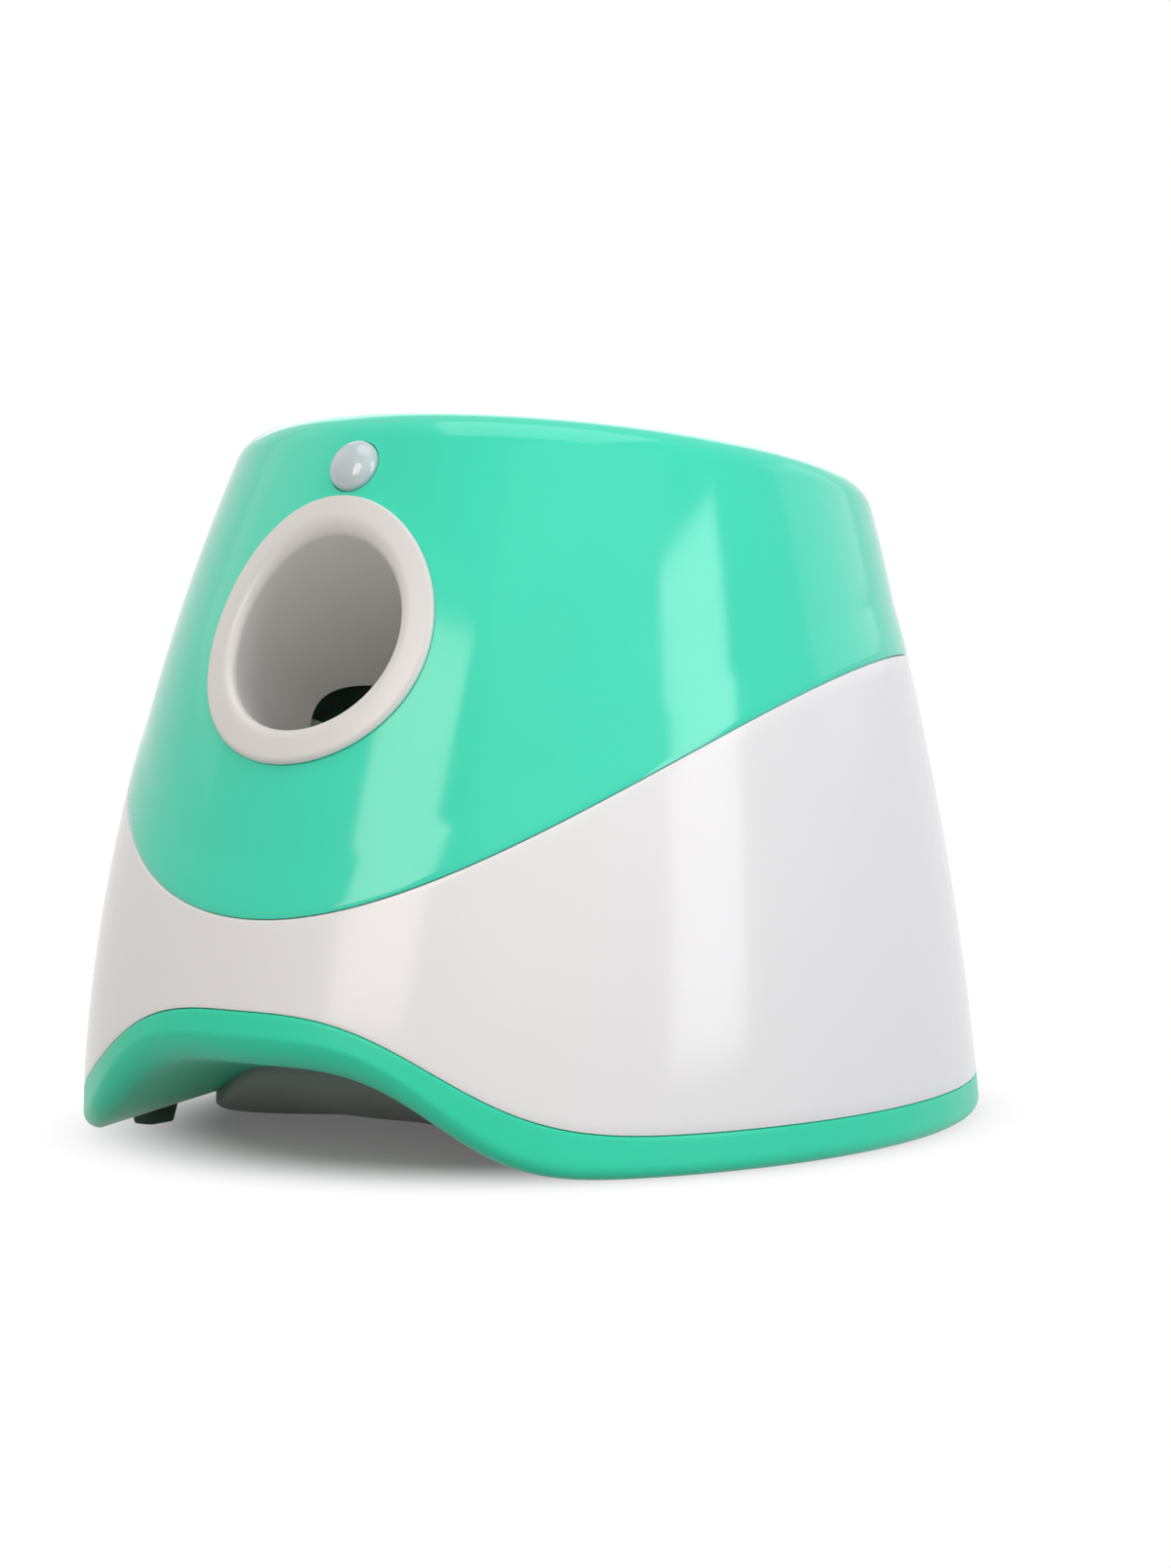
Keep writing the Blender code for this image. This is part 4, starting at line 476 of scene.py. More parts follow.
@dataclass(frozen=True)
class CellSleeve(Moulded):
    """Shrunk film over a dry cell, with a pale band round one end of each cell."""

    band: str = "#B8BCC0"
    pitch_mm: float = 51.8
    band_mm: tuple[float, float] = (36, 37)

    def detail(self, tree: bpy.types.NodeTree, place: bpy.types.NodeSocket) -> dict:
        """Bands across the row of cells.

        Args:
            tree: The material's node tree.
            place: Position on the piece, in metres.

        Returns:
            Sockets to link to the shader, by the name of its input.
        """
        links = Moulded.detail(self, tree, place)
        split = add_node(tree, "ShaderNodeSeparateXYZ", {"Vector": place})
        phase = add_node(
            tree,
            "ShaderNodeMath",
            {0: split.outputs["X"], 1: self.pitch_mm * MM},
            operation="PINGPONG",
        )
        low, high = (edge * MM for edge in self.band_mm)
        edge = add_node(
            tree, "ShaderNodeMapRange", {"Value": phase.outputs["Value"], "From Min": low, "From Max": high}
        )
        colour = add_node(
            tree,
            "ShaderNodeMix",
            {0: edge.outputs["Result"], 6: links["Base Color"], 7: linear(self.band)},
            data_type="RGBA",
        )
        return {**links, "Base Color": colour.outputs[2]}


# High-gloss ABS from a polished mould: crisp lamps, a trace of orange peel.
POLISHED_GREEN_ABS = Moulded(Slot.SHELL_GREEN, "#33E2BE", 0.12, 1.5)
# The same resin from a finely blasted mould: the lamps spread to a sheen.
SATIN_GREEN_ABS = Moulded(
    Slot.BASE_GREEN, "#3CE0B6", 0.34, 1.5, skin_mm=0.7, skin_depth_mm=0.012, gloss_swing=0.06,
    sockets=(("Specular IOR Level", 0.2),),
)
# White high-gloss ABS: slightly cool, the gloss a little softer than on the green.
POLISHED_WHITE_ABS = Moulded(Slot.SHELL_WHITE, "#F1F0F2", 0.16, 1.42, clouding=0.012)
# Warm white ABS of the mouth, from a softly blasted mould.
SOFT_WHITE_ABS = Moulded(
    Slot.RING_WHITE, "#E3E1DF", 0.3, 1.53, clouding=0.012, skin_mm=1.1, skin_depth_mm=0.006
)
# Green ABS from a spark-eroded mould: dull, with a visible grain.
GRAINED_GREEN_ABS = Moulded(
    Slot.CHAMBER_GREEN, "#3FA684", 0.5, 1.53, skin_mm=0.8, skin_depth_mm=0.03, gloss_swing=0.08
)
# Thermoplastic elastomer of the throwing wheels: pale and grippy.
GREY_ELASTOMER = Elastomer(Slot.TYRE, "#BFC6BD", 0.62, 1.5)
# Dark green rubber of the feet: dull, with a little dust on it.
GREEN_RUBBER = Elastomer(Slot.RUBBER, "#17472F", 0.6, 1.52, bloom="#2C5C48", bloom_share=0.15)
# Grey ABS of the floor pan and battery door, from a spark-eroded mould. Its grey and weak gloss are set to
# the tone of the shade under the arch, so the pan seen there passes for floor shadow: partly the pan's own
# colour, partly painted shade.
PAN_GREY_TONED_AS_SHADE = Moulded(
    Slot.BASE_GREY, "#868988", 0.5, 1.53, skin_mm=0.7, skin_depth_mm=0.03, gloss_swing=0.08,
    sockets=(("Specular IOR Level", 0.2),),
)
# Natural acetal: waxy, faintly see-through.
NATURAL_ACETAL = Moulded(
    Slot.HUB_WHITE, "#E4E2DA", 0.33, 1.48, clouding=0.02, skin_mm=1.0, skin_depth_mm=0.004,
    sockets=(("Subsurface Weight", 0.08), ("Subsurface Scale", 0.002)),
)
# Black ABS from a spark-eroded mould.
GRAINED_BLACK_ABS = Moulded(
    Slot.PLASTIC_BLACK, "#1D1E20", 0.48, 1.53, skin_mm=0.6, skin_depth_mm=0.025, gloss_swing=0.08
)
# Zinc-plated steel: cool, with drawn scratches.
ZINC_PLATED_STEEL = PlatedMetal(Slot.STEEL, "#BFC3C7", 0.3, metallic=1.0)
# Nickel-plated brass: warmer and brighter.
NICKEL_PLATE = PlatedMetal(Slot.NICKEL, "#CFC9BB", 0.2, metallic=1.0, swing=0.08)
# Glass-fibre circuit board.
CIRCUIT_BOARD = GlassFibreBoard(Slot.BOARD_GREEN, "#1F5D3E", 0.35, 1.52)
# Milky polyethylene of the motion sensor.
MILKY_POLYETHYLENE = SensorLens(
    Slot.LENS_WHITE, "#C2D1D5", 0.07, 1.51, clouding=0.02, skin_depth_mm=0.002,
    sockets=(("Subsurface Weight", 0.35), ("Subsurface Scale", 0.003), ("Specular IOR Level", 0.9)),
)
# Soft-touch grey of the push button.
GREY_BUTTON = Moulded(Slot.BUTTON_GREY, "#AEB3B4", 0.42, 1.5, skin_mm=0.5, skin_depth_mm=0.01)
# Clear polycarbonate of the light pipes.
CLEAR_POLYCARBONATE = Moulded(
    Slot.LIGHT_CLEAR, "#E8EEEC", 0.14, 1.58, clouding=0.01, sockets=(("Transmission Weight", 0.7),)
)
# Printed film of the dry cells.
CELL_FILM = CellSleeve(Slot.CELL_JACKET, "#3B4A57", 0.22, 1.5)

FINISHES = (
    POLISHED_GREEN_ABS,
    SATIN_GREEN_ABS,
    POLISHED_WHITE_ABS,
    SOFT_WHITE_ABS,
    GRAINED_GREEN_ABS,
    GREY_ELASTOMER,
    GREEN_RUBBER,
    PAN_GREY_TONED_AS_SHADE,
    NATURAL_ACETAL,
    GRAINED_BLACK_ABS,
    ZINC_PLATED_STEEL,
    NICKEL_PLATE,
    CIRCUIT_BOARD,
    MILKY_POLYETHYLENE,
    GREY_BUTTON,
    CLEAR_POLYCARBONATE,
    CELL_FILM,
)


@dataclass
class Paintshop:
    """Holds one material for each slot."""

    materials: dict[Slot, bpy.types.Material] = field(default_factory=dict)

    def stock(self) -> None:
        """Builds the material of every finish."""
        for finish in FINISHES:
            self.materials[finish.slot] = finish.material()

    def paint(self, piece: bpy.types.Object, slot: Slot) -> None:
        """Gives a piece one slot's finish."""
        piece.data.materials.clear()
        piece.data.materials.append(self.materials[slot])


PAINTSHOP = Paintshop()


# Mesh work


def mesh_piece(
    name: str, points: Sequence[Sequence[float]], faces: Sequence[Sequence[int]]
) -> bpy.types.Object:
    """Makes a smooth-shaded mesh object whose sharp edges stay sharp.

    Args:
        name: Name of the object.
        points: Corner points in metres.
        faces: Corner numbers of each face.

    Returns:
        The object, linked to the scene.
    """
    mesh = bpy.data.meshes.new(name)
    mesh.from_pydata([tuple(point) for point in points], [], [tuple(face) for face in faces])
    mesh.validate()
    mesh.shade_smooth()
    mesh.set_sharp_from_angle(angle=SHARP_ANGLE)
    piece = bpy.data.objects.new(name, mesh)
    bpy.context.scene.collection.objects.link(piece)
    return piece


def loft(name: str, rings: Sequence[Ring], closed: bool = False) -> bpy.types.Object:
    """Skins rings of points into one closed shell.

    Args:
        name: Name of the object.
        rings: Rings of the same count of points, each an array of rows.
        closed: Whether the last ring joins the first; otherwise both ends are capped.

    Returns:
        The object.
    """
    count = len(rings[0])
    points = np.concatenate(rings)
    steps = np.arange(count)
    after = (steps + 1) % count
    faces: list[Sequence[int]] = []
    for number in range(len(rings) if closed else len(rings) - 1):
        low = number * count
        high = ((number + 1) % len(rings)) * count
        faces += np.stack([low + steps, low + after, high + after, high + steps], axis=1).tolist()
    if not closed:
        last = (len(rings) - 1) * count
        faces.append(list(reversed(steps.tolist())))
        faces.append((last + steps).tolist())
    piece = mesh_piece(name, points.tolist(), faces)
    face_outwards(piece)
    return piece


def face_outwards(piece: bpy.types.Object) -> None:
    """Turns a closed mesh's faces outwards where its volume comes out negative.

    Args:
        piece: The closed mesh object.
    """
    mesh = piece.data
    mesh.calc_loop_triangles()
    corners = np.array([vertex.co[:] for vertex in mesh.vertices])
    triangles = np.array([triangle.vertices[:] for triangle in mesh.loop_triangles])
    a, b, c = (corners[triangles[:, place]] for place in range(3))
    if np.einsum("ij,ij->i", a, np.cross(b, c)).sum() < 0:
        mesh.flip_normals()


def circle(radius: float, height: float, count: int) -> Ring:
    """Ring of points round the Z axis."""
    turns = np.linspace(0, TURN, count, endpoint=False)
    return np.stack([radius * np.cos(turns), radius * np.sin(turns), np.full(count, height)], axis=1)


def turned(name: str, profile: Profile, count: int = 96, closed: bool = False) -> bpy.types.Object:
    """Turns a profile of (radius, height) round the Z axis.

    Args:
        name: Name of the object.
        profile: Points from one end to the other; a radius of zero isn't given.
        count: Segments round the axis.
        closed: Whether the profile's last point joins its first; otherwise both ends are capped.

    Returns:
        The object.
    """
    return loft(name, [circle(radius, height, count) for radius, height in profile], closed)


def rod(
    name: str, radius: float, ends: tuple[float, float], count: int, place: Matrix
) -> bpy.types.Object:
    """Makes a round rod on a frame's Z axis, to cut with or to join on.

    Args:
        name: Name of the object.
        radius: The rod's radius.
        ends: Heights of its two ends over the frame.
        count: Segments round the axis.
        place: The frame.

    Returns:
        The object.
    """
    return placed(turned(name, [(radius, ends[0]), (radius, ends[1])], count), place)


def fillet(
    corner: tuple[float, float], start: tuple[float, float], end: tuple[float, float], steps: int = 4
) -> Profile:
    """Rounds a corner of a profile with a curve from start to end.

    Args:
        corner: The sharp corner.
        start: Where the round leaves the first side.
        end: Where it meets the second.
        steps: Segments of the round.

    Returns:
        Points on the curve, both ends among them.
    """
    rows = []
    for share in (step / steps for step in range(steps + 1)):
        weights = (1 - share) ** 2, 2 * share * (1 - share), share**2
        rows.append(tuple(sum(map(mul, weights, values)) for values in zip(start, corner, end)))
    return rows


def rounded(points: Sequence[tuple[float, float, float]]) -> Profile:
    """Rounds the corners of a profile.

    Args:
        points: Rows of (radius, height, round), where a round of zero keeps the corner.

    Returns:
        The profile with its rounds.
    """
    rows: Profile = []
    for number, (x, z, size) in enumerate(points):
        here = Vector((x, z))
        if not size or number in (0, len(points) - 1):
            rows.append((x, z))
            continue
        before = Vector(points[number - 1][:2]) - here
        after = Vector(points[number + 1][:2]) - here
        start = here + before.normalized() * min(size, before.length * 0.49)
        end = here + after.normalized() * min(size, after.length * 0.49)
        rows += fillet((x, z), tuple(start), tuple(end))
    return rows


def box_piece(name: str, low: Sequence[float], high: Sequence[float]) -> bpy.types.Object:
    """Makes a block, to cut with or to join on.

    Args:
        name: Name of the object.
        low: The block's lowest corner.
        high: Its highest corner.

    Returns:
        The object.
    """
    ring = np.array([(low[0], low[1]), (high[0], low[1]), (high[0], high[1]), (low[0], high[1])])
    rings = [np.column_stack([ring, np.full(4, z)]) for z in (low[2], high[2])]
    return loft(name, rings)


def placed(piece: bpy.types.Object, matrix: Matrix) -> bpy.types.Object:
    """Moves a piece's mesh by a matrix, with its object kept at the origin.

    Args:
        piece: The mesh object.
        matrix: The matrix.

    Returns:
        The same object.
    """
    piece.data.transform(matrix)
    piece.data.update()
    return piece


def carve(piece: bpy.types.Object, cutters: Sequence[bpy.types.Object], joins: bool = False) -> None:
    """Cuts closed shapes out of a piece, or joins them to it, and keeps its smooth shading.

    Args:
        piece: The mesh object that is cut.
        cutters: Closed mesh objects, removed afterwards.
        joins: Whether the shapes are added instead.
    """
    before = piece.data.copy()
    for cutter in cutters:
        modifier = piece.modifiers.new("carve", "BOOLEAN")
        modifier.operation = "UNION" if joins else "DIFFERENCE"
        modifier.solver = "EXACT"
        modifier.object = cutter
    graph = bpy.context.evaluated_depsgraph_get()
    mesh = bpy.data.meshes.new_from_object(piece.evaluated_get(graph))
    name = piece.data.name
    piece.modifiers.clear()
    piece.data = mesh
    mesh.name = name
    reach = []
    for cutter in cutters:
        reach.append(np.array([vertex.co[:] for vertex in cutter.data.vertices]))
        bpy.data.objects.remove(cutter)
    mesh.shade_smooth()
    mesh.set_sharp_from_angle(angle=SHARP_ANGLE)
    keep_normals(mesh, before, reach)


def keep_normals(mesh: bpy.types.Mesh, before: bpy.types.Mesh, reach: Sequence[np.ndarray]) -> None:
    """Shades the faces round a cut as they were before it.

    Args:
        mesh: The cut mesh.
        before: The same mesh, uncut.
        reach: Points of each cutter.
    """
    margin, towards_middle, same_surface, same_way = 0.006, 0.02, 0.0002, 0.85
    corners = [vertex.co.copy() for vertex in before.vertices]
    polygons = [tuple(polygon.vertices) for polygon in before.polygons]
    tree = BVHTree.FromPolygons(corners, polygons)
    normals = [Vector(item.vector) for item in before.corner_normals]
    boxes = [(points.min(axis=0) - margin, points.max(axis=0) + margin) for points in reach]
    custom = [Vector()] * len(mesh.loops)
    for polygon in mesh.polygons:
        middle = np.array(polygon.center)
        if not any((low < middle).all() and (middle < high).all() for low, high in boxes):
            continue
        for loop in polygon.loop_indices:
            corner = mesh.vertices[mesh.loops[loop].vertex_index].co
            probe = corner.lerp(polygon.center, towards_middle)
            near, normal, number, distance = tree.find_nearest(probe)
            if number is None or distance > same_surface or normal.dot(polygon.normal) < same_way:
                continue
            shares = poly_3d_calc([corners[index] for index in polygons[number]], near)
            start = before.polygons[number].loop_start
            mixed = sum((normals[start + place] * share for place, share in enumerate(shares)), Vector())
            custom[loop] = mixed.normalized()
    mesh.normals_split_custom_set(custom)


def settle(piece: bpy.types.Object, slot: Slot, body: Body, *nodes: str) -> None:
    """Gives a finished piece its material and its body, and hides the frame's solids that it replaces.

    Args:
        piece: The piece.
        slot: Its material slot.
        body: The body that it rides on.
        *nodes: The frame's solids that it replaces.
    """
    PAINTSHOP.paint(piece, slot)
    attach(piece, body.value)
    if nodes:
        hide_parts(*nodes)
    LOG.info("%s: %d faces, on %s", piece.name, len(piece.data.polygons), body.value)


def bevelled(node: bpy.types.Object, width_mm: float = 0.25) -> None:
    """Rounds the edges of a solid; its loose facets are welded first.

    Args:
        node: The solid.
        width_mm: Width of the round.
    """
    weld = node.modifiers.new("facet_weld", "WELD")
    weld.merge_threshold = WELD_REACH
    modifier = node.modifiers.new("edge_round", "BEVEL")
    modifier.width = width_mm * MM
    modifier.segments = 2
    modifier.limit_method = "ANGLE"
    modifier.angle_limit = math.radians(40)
    modifier.use_clamp_overlap = True


# The body's form


@dataclass(frozen=True)
class BodyForm:
    """The smooth body that the casing, hopper and mouth follow."""

    height: float = 0.215031
    width_at_foot: float = 0.139
    width_draw: float = 0.037
    width_curve: float = 1.9
    front_reach: float = 0.1638
    front_draw: float = 0.0655
    front_curve: float = 1.64
    rear_reach: float = 0.161206
    rear_draw: float = 0.057
    rear_curve: float = 1.05
    top_slope: float = 0.14
    seam_rear: float = 0.152031
    seam_fall: float = 0.084
    seam_run: float = 0.2
    seam_level_y: float = 0.0387
    segments: int = 320
    settle_steps: ClassVar[int] = 12
    search_steps: ClassVar[int] = 40
    search_span: ClassVar[float] = 0.0415

    @property
    def angles(self) -> np.ndarray:
        """Angles round the body, from the front towards +X."""
        return np.linspace(0, TURN, self.segments, endpoint=False)

    def half_width(self, z: np.ndarray) -> np.ndarray:
        """Half the body's width at a height."""
        return self.width_at_foot - self.width_draw * (np.maximum(z, 0) / self.height) ** self.width_curve

    def front_y(self, z: np.ndarray) -> np.ndarray:
        """The front wall's place at a height."""
        return self.front_draw * (np.maximum(z, 0) / self.height) ** self.front_curve - self.front_reach

    def rear_y(self, z: np.ndarray) -> np.ndarray:
        """The rear wall's place at a height."""
        return self.rear_reach - self.rear_draw * (np.maximum(z, 0) / self.height) ** self.rear_curve

    def depths(self, z: np.ndarray) -> tuple[np.ndarray, np.ndarray]:
        """Where the body's middle lies at a height, and half its depth there."""
        return (self.rear_y(z) + self.front_y(z)) / 2, (self.rear_y(z) - self.front_y(z)) / 2

    def ring(self, angles: np.ndarray, z: np.ndarray, inset: np.ndarray | float) -> Ring:
        """Points on the body.

        Args:
            angles: Angle of each point.
            z: Height of each point.
            inset: How far the points are set in from the surface.

        Returns:
            One row for each point.
        """
        middle, half_depth = self.depths(z)
        x = (self.half_width(z) - inset) * np.sin(angles)
        y = middle - (half_depth - inset) * np.cos(angles)
        return np.stack([x, y, z + np.zeros(len(angles))], axis=1)

    def settled(self, rule: Height, angles: np.ndarray) -> np.ndarray:
        """Heights at which a rule of y is met on the surface.

        Args:
            rule: Gives a height for each y.
            angles: Angles round the body.

        Returns:
            One height for each angle.
        """
        z = np.full(len(angles), self.height / 2)
        for _ in range(self.settle_steps):
            z = rule(self.ring(angles, z, 0)[:, 1])
        return z

    def top(self, angles: np.ndarray) -> np.ndarray:
        """Height of the rim, which slopes up towards the front."""
        return self.settled(lambda y: self.height - self.top_slope * y, angles)

    def seam_rule(self, y: np.ndarray) -> np.ndarray:
        """The seam's parabola, level at the rear and falling towards the front."""
        return self.seam_rear - self.seam_fall * (np.maximum(self.seam_level_y - y, 0) / self.seam_run) ** 2

    def seam(self, angles: np.ndarray) -> np.ndarray:
        """Height of the seam."""
        return self.settled(self.seam_rule, angles)

    def outward(self, z: float, rear: bool = False) -> Matrix:
        """Frame on the middle of the front or rear wall, with local Z pointing straight out.

        Args:
            z: Height of the frame.
            rear: Whether it is on the rear wall.

        Returns:
            The frame.
        """
        wall = self.rear_y if rear else self.front_y
        lean = math.atan2(float(wall(z + WALL)) - float(wall(z - WALL)), 2 * WALL)
        turn = (-math.pi / 2 if rear else math.pi / 2) - lean
        return Matrix.Translation((0, float(wall(z)), z)) @ Matrix.Rotation(turn, 4, "X")

    def reach(self, frame: Matrix, x: np.ndarray, y: np.ndarray) -> np.ndarray:
        """How high the wall stands over a frame set on it.

        Args:
            frame: The frame, with local Z pointing out.
            x: Places across the frame.
            y: Places up the frame.

        Returns:
            Heights in the frame.
        """
        near = np.full(np.shape(x), -self.search_span)
        far = -near
        rows = np.array(frame)
        for _ in range(self.search_steps):
            middle = (near + far) / 2
            points = np.stack([x, y, middle, np.ones(np.shape(x))], axis=-1) @ rows.T
            z = points[..., 2]
            centre, half_depth = self.depths(z)
            across = points[..., 0] / self.half_width(z)
            inside = across**2 + ((points[..., 1] - centre) / half_depth) ** 2 < 1
            near = np.where(inside, middle, near)
            far = np.where(inside, far, middle)
        return (near + far) / 2


BODY = BodyForm()


@dataclass
class Casing:
    """Upper shell, lower shell and base skirt, as three closed rings of moulded wall."""

    top_round: float = 0.008
    rim_inset: float = 0.012
    rim_drop: float = 0.007
    crease_rise: float = 0.016
    crease_sink: float = 0.0006
    crease_limit: float = 0.4
    edge: float = 0.0004
    edge_bend: float = 0.3
    skirt_top_height: float = 0.0134
    arch_band: float = 0.0164
    arch_height: float = 0.0325
    arch_half_angle: float = math.radians(30)
    arch_curve: float = 3.7
    rise_angle: float = math.radians(31.6)
    rise_curve: float = 3.06
    clearance: float = 0.0008
    skirt_round: float = 0.009
    side_round: float = 0.0045
    arch_flat: float = 0.6
    soffit_inset: float = 0.042
    soffit_height: float = 0.012
    soffit_arch_rise: float = 0.015
    screw_angles: tuple[int, ...] = (60, 115, 245, 300)
    screw_inset: float = 0.0078
    tunnel_radius: float = 0.0055
    tunnel_bore: float = 0.0040
    tunnel_low: float = 0.0036
    tunnel_top: float = 0.0161
    tunnel_seat: float = 0.0016
    screw_hole: float = 0.0017
    screw_length: float = 0.016
    boss_radius: float = 0.0045
    boss_low: float = 0.017
    boss_height: float = 0.018
    ring_hole: float = 0.037
    ring_hole_reach: float = 0.04
    eye_height: float = 0.211031
    eye_hole: float = 0.0088
    button_height: float = 0.105031
    button_hole: float = 0.0094
    jack_height: float = 0.045
    jack_hole: float = 0.0049
    light_hole: float = 0.0023
    light_rise: float = 0.018
    light_spacing: float = 0.011
    wide_hole_depth: float = 0.005
    small_hole_depth: float = 0.006
    mouth_height: float = 0.162031
    launch_rise: float = math.radians(40)

    def mouth_frame(self) -> Matrix:
        """Frame of the launch line.

        Returns:
            A frame at the mouth's middle, with local Z pointing out along the line.
        """
        z = self.mouth_height
        place = Matrix.Translation((0, float(BODY.front_y(z)), z))
        return place @ Matrix.Rotation(math.pi / 2 - self.launch_rise, 4, "X")

    def from_front(self, angles: np.ndarray) -> np.ndarray:
        """Angle from the front on either side."""
        return np.minimum(angles, TURN - angles)

    def skirt_top(self, angles: np.ndarray) -> np.ndarray:
        """Upper edge of the skirt, which rises over the arch.

        Args:
            angles: Angles round the body.

        Returns:
            One height for each angle.
        """
        rise = self.arch_height + self.arch_band - self.skirt_top_height
        share = np.exp(-((self.from_front(angles) / self.rise_angle) ** self.rise_curve))
        return self.skirt_top_height + rise * share

    def arch(self, angles: np.ndarray) -> np.ndarray:
        """One at the crown of the arch, falling softly to zero at its ends."""
        return np.exp(-((self.from_front(angles) / self.arch_half_angle) ** self.arch_curve))

    def lower_round(self, angles: np.ndarray) -> np.ndarray:
        """Round of the skirt's lower edge, wider under the arch."""
        return self.side_round + (self.skirt_round - self.side_round) * self.arch(angles) ** 0.5

    def skirt_bottom(self, angles: np.ndarray) -> np.ndarray:
        """Lower edge of the skirt, arched at the front."""
        return self.clearance + (self.arch_height - self.clearance) * self.arch(angles)

    def soffit(self, angles: np.ndarray) -> np.ndarray:
        """Inner edge of the soffit, which rises behind the arch."""
        return self.soffit_height + self.soffit_arch_rise * self.arch(angles)

    def screw_places(self) -> list[Matrix]:
        """Where the case screws stand.

        Returns:
            Frames on the floor under them.
        """
        angles = np.radians(self.screw_angles)
        rows = BODY.ring(angles, np.full(len(angles), self.tunnel_top), self.screw_inset)
        return [Matrix.Translation((x, y, 0)) for x, y, _ in rows]

    def screw_bosses(self) -> list[bpy.types.Object]:
        """Makes the bosses for the case screws, drawn in to the middle of the wall.

        Returns:
            The bosses, to be joined to the lower shell.
        """
        bosses = []
        for place in self.screw_places():
            rings = []
            for z in np.linspace(self.boss_low, self.boss_low + self.boss_height, 7):
                ring = circle(self.boss_radius, z, 32) + np.array(place.translation)
                middle, half_depth = BODY.depths(z)
                across = ring[:, 0] / (BODY.half_width(z) - WALL / 2)
                along = (ring[:, 1] - middle) / (half_depth - WALL / 2)
                reach = np.maximum(np.hypot(across, along), 1)
                ring[:, 0] /= reach
                ring[:, 1] = middle + (ring[:, 1] - middle) / reach
                rings.append(ring)
            bosses.append(loft("screw_boss", rings))
        return bosses

    def shoulder(self, angles: np.ndarray) -> np.ndarray:
        """Where the wall starts to round over to the rim."""
        return BODY.top(angles) - self.top_round

    def crease(self, angles: np.ndarray) -> np.ndarray:
        """The soft crease above the seam."""
        seam = BODY.seam(angles)
        return seam + np.minimum(self.crease_rise, (self.shoulder(angles) - seam) * self.crease_limit)

    def band(self, name: str, stations: Stations) -> bpy.types.Object:
        """Closed ring of wall from stations of (inset, heights)."""
        angles = BODY.angles
        return loft(name, [BODY.ring(angles, heights, inset) for inset, heights in stations], closed=True)

    def wall(
        self, low: np.ndarray, high: np.ndarray, count: int, inset: float = 0, sink: float = 0
    ) -> Stations:
        """Stations between two edges, both left out.

        Args:
            low: Heights of the lower edge.
            high: Heights of the upper edge.
            count: How many stations.
            inset: Inset of the wall.
            sink: Inset at the lower edge, which fades out over the wall.

        Returns:
            Stations from the lower edge to the upper.
        """
        shares = [number / (count + 1) for number in range(1, count + 1)]
        return [(inset + sink * (1 - share) ** 2, low + (high - low) * share) for share in shares]

    def cover(self, edge: np.ndarray) -> Stations:
        """Lip of the outer wall and the notch behind it.

        Args:
            edge: Heights of the joint.

        Returns:
            Stations from the inside out.
        """
        low, top = edge + GAP / 2, edge + LAP + GAP
        bend = self.edge * self.edge_bend
        return [
            (WALL, top), (LIP, top), (LIP, low + self.edge), (LIP - self.edge / 3, low),
            (self.edge, low), (bend, low + bend), (0, low + self.edge),
        ]

    def tongue(self, edge: np.ndarray) -> Stations:
        """Rounded shoulder and the tongue that the lip covers.

        Args:
            edge: Heights of the joint.

        Returns:
            Stations from the outside in.
        """
        low, inner = edge - GAP / 2, LIP + GAP
        bend = self.edge * self.edge_bend
        return [
            (0, low - self.edge), (bend, low - bend), (self.edge, low),
            (inner, low), (inner, low + LAP), (WALL, low + LAP),
        ]

    def upper_shell(self) -> None:
        """Green shell with a soft crease, a rolled rim and the holes of mouth and sensor."""
        angles = BODY.angles
        rules = (BODY.seam, self.crease, self.shoulder, BODY.top)
        seam, crease, shoulder, top = (rule(angles) for rule in rules)
        stations = self.wall(seam + GAP / 2 + self.edge, crease, 7)
        for number, (_, heights) in enumerate(stations):
            share = (number + 1) / (len(stations) + 1)
            stations[number] = (self.crease_sink * share**1.5, heights)
        stations += [(self.crease_sink, crease)]
        stations += self.wall(crease, shoulder, 30, sink=self.crease_sink)
        turns = np.linspace(0, math.pi / 2, 17)
        outer, inner, lip = self.top_round, self.top_round - WALL, self.rim_inset - LIP
        stations += [(outer * (1 - math.cos(turn)), shoulder + outer * math.sin(turn)) for turn in turns]
        stations += [(lip + LIP * math.sin(turn), top - LIP * (1 - math.cos(turn))) for turn in turns[::4]]
        stations += [(self.rim_inset, top - self.rim_drop), (self.rim_inset - WALL, top - self.rim_drop)]
        stations += [(self.rim_inset - WALL, top - WALL)]
        for turn in turns[::-4]:
            stations.append((outer - inner * math.cos(turn), shoulder + inner * math.sin(turn)))
        stations += self.wall(seam + LAP, shoulder, 4, WALL)[::-1]
        stations += self.cover(seam)
        shell = self.band("casing_upper", stations)
        reach, ends = (-self.ring_hole_reach, self.ring_hole_reach), (-self.wide_hole_depth, OVERCUT)
        mouth = rod("mouth_hole", self.ring_hole, reach, 160, self.mouth_frame())
        carve(shell, [mouth, rod("eye_hole", self.eye_hole, ends, 96, BODY.outward(self.eye_height))])
        settle(shell, Slot.SHELL_GREEN, Body.ROOT, "upper_shell")

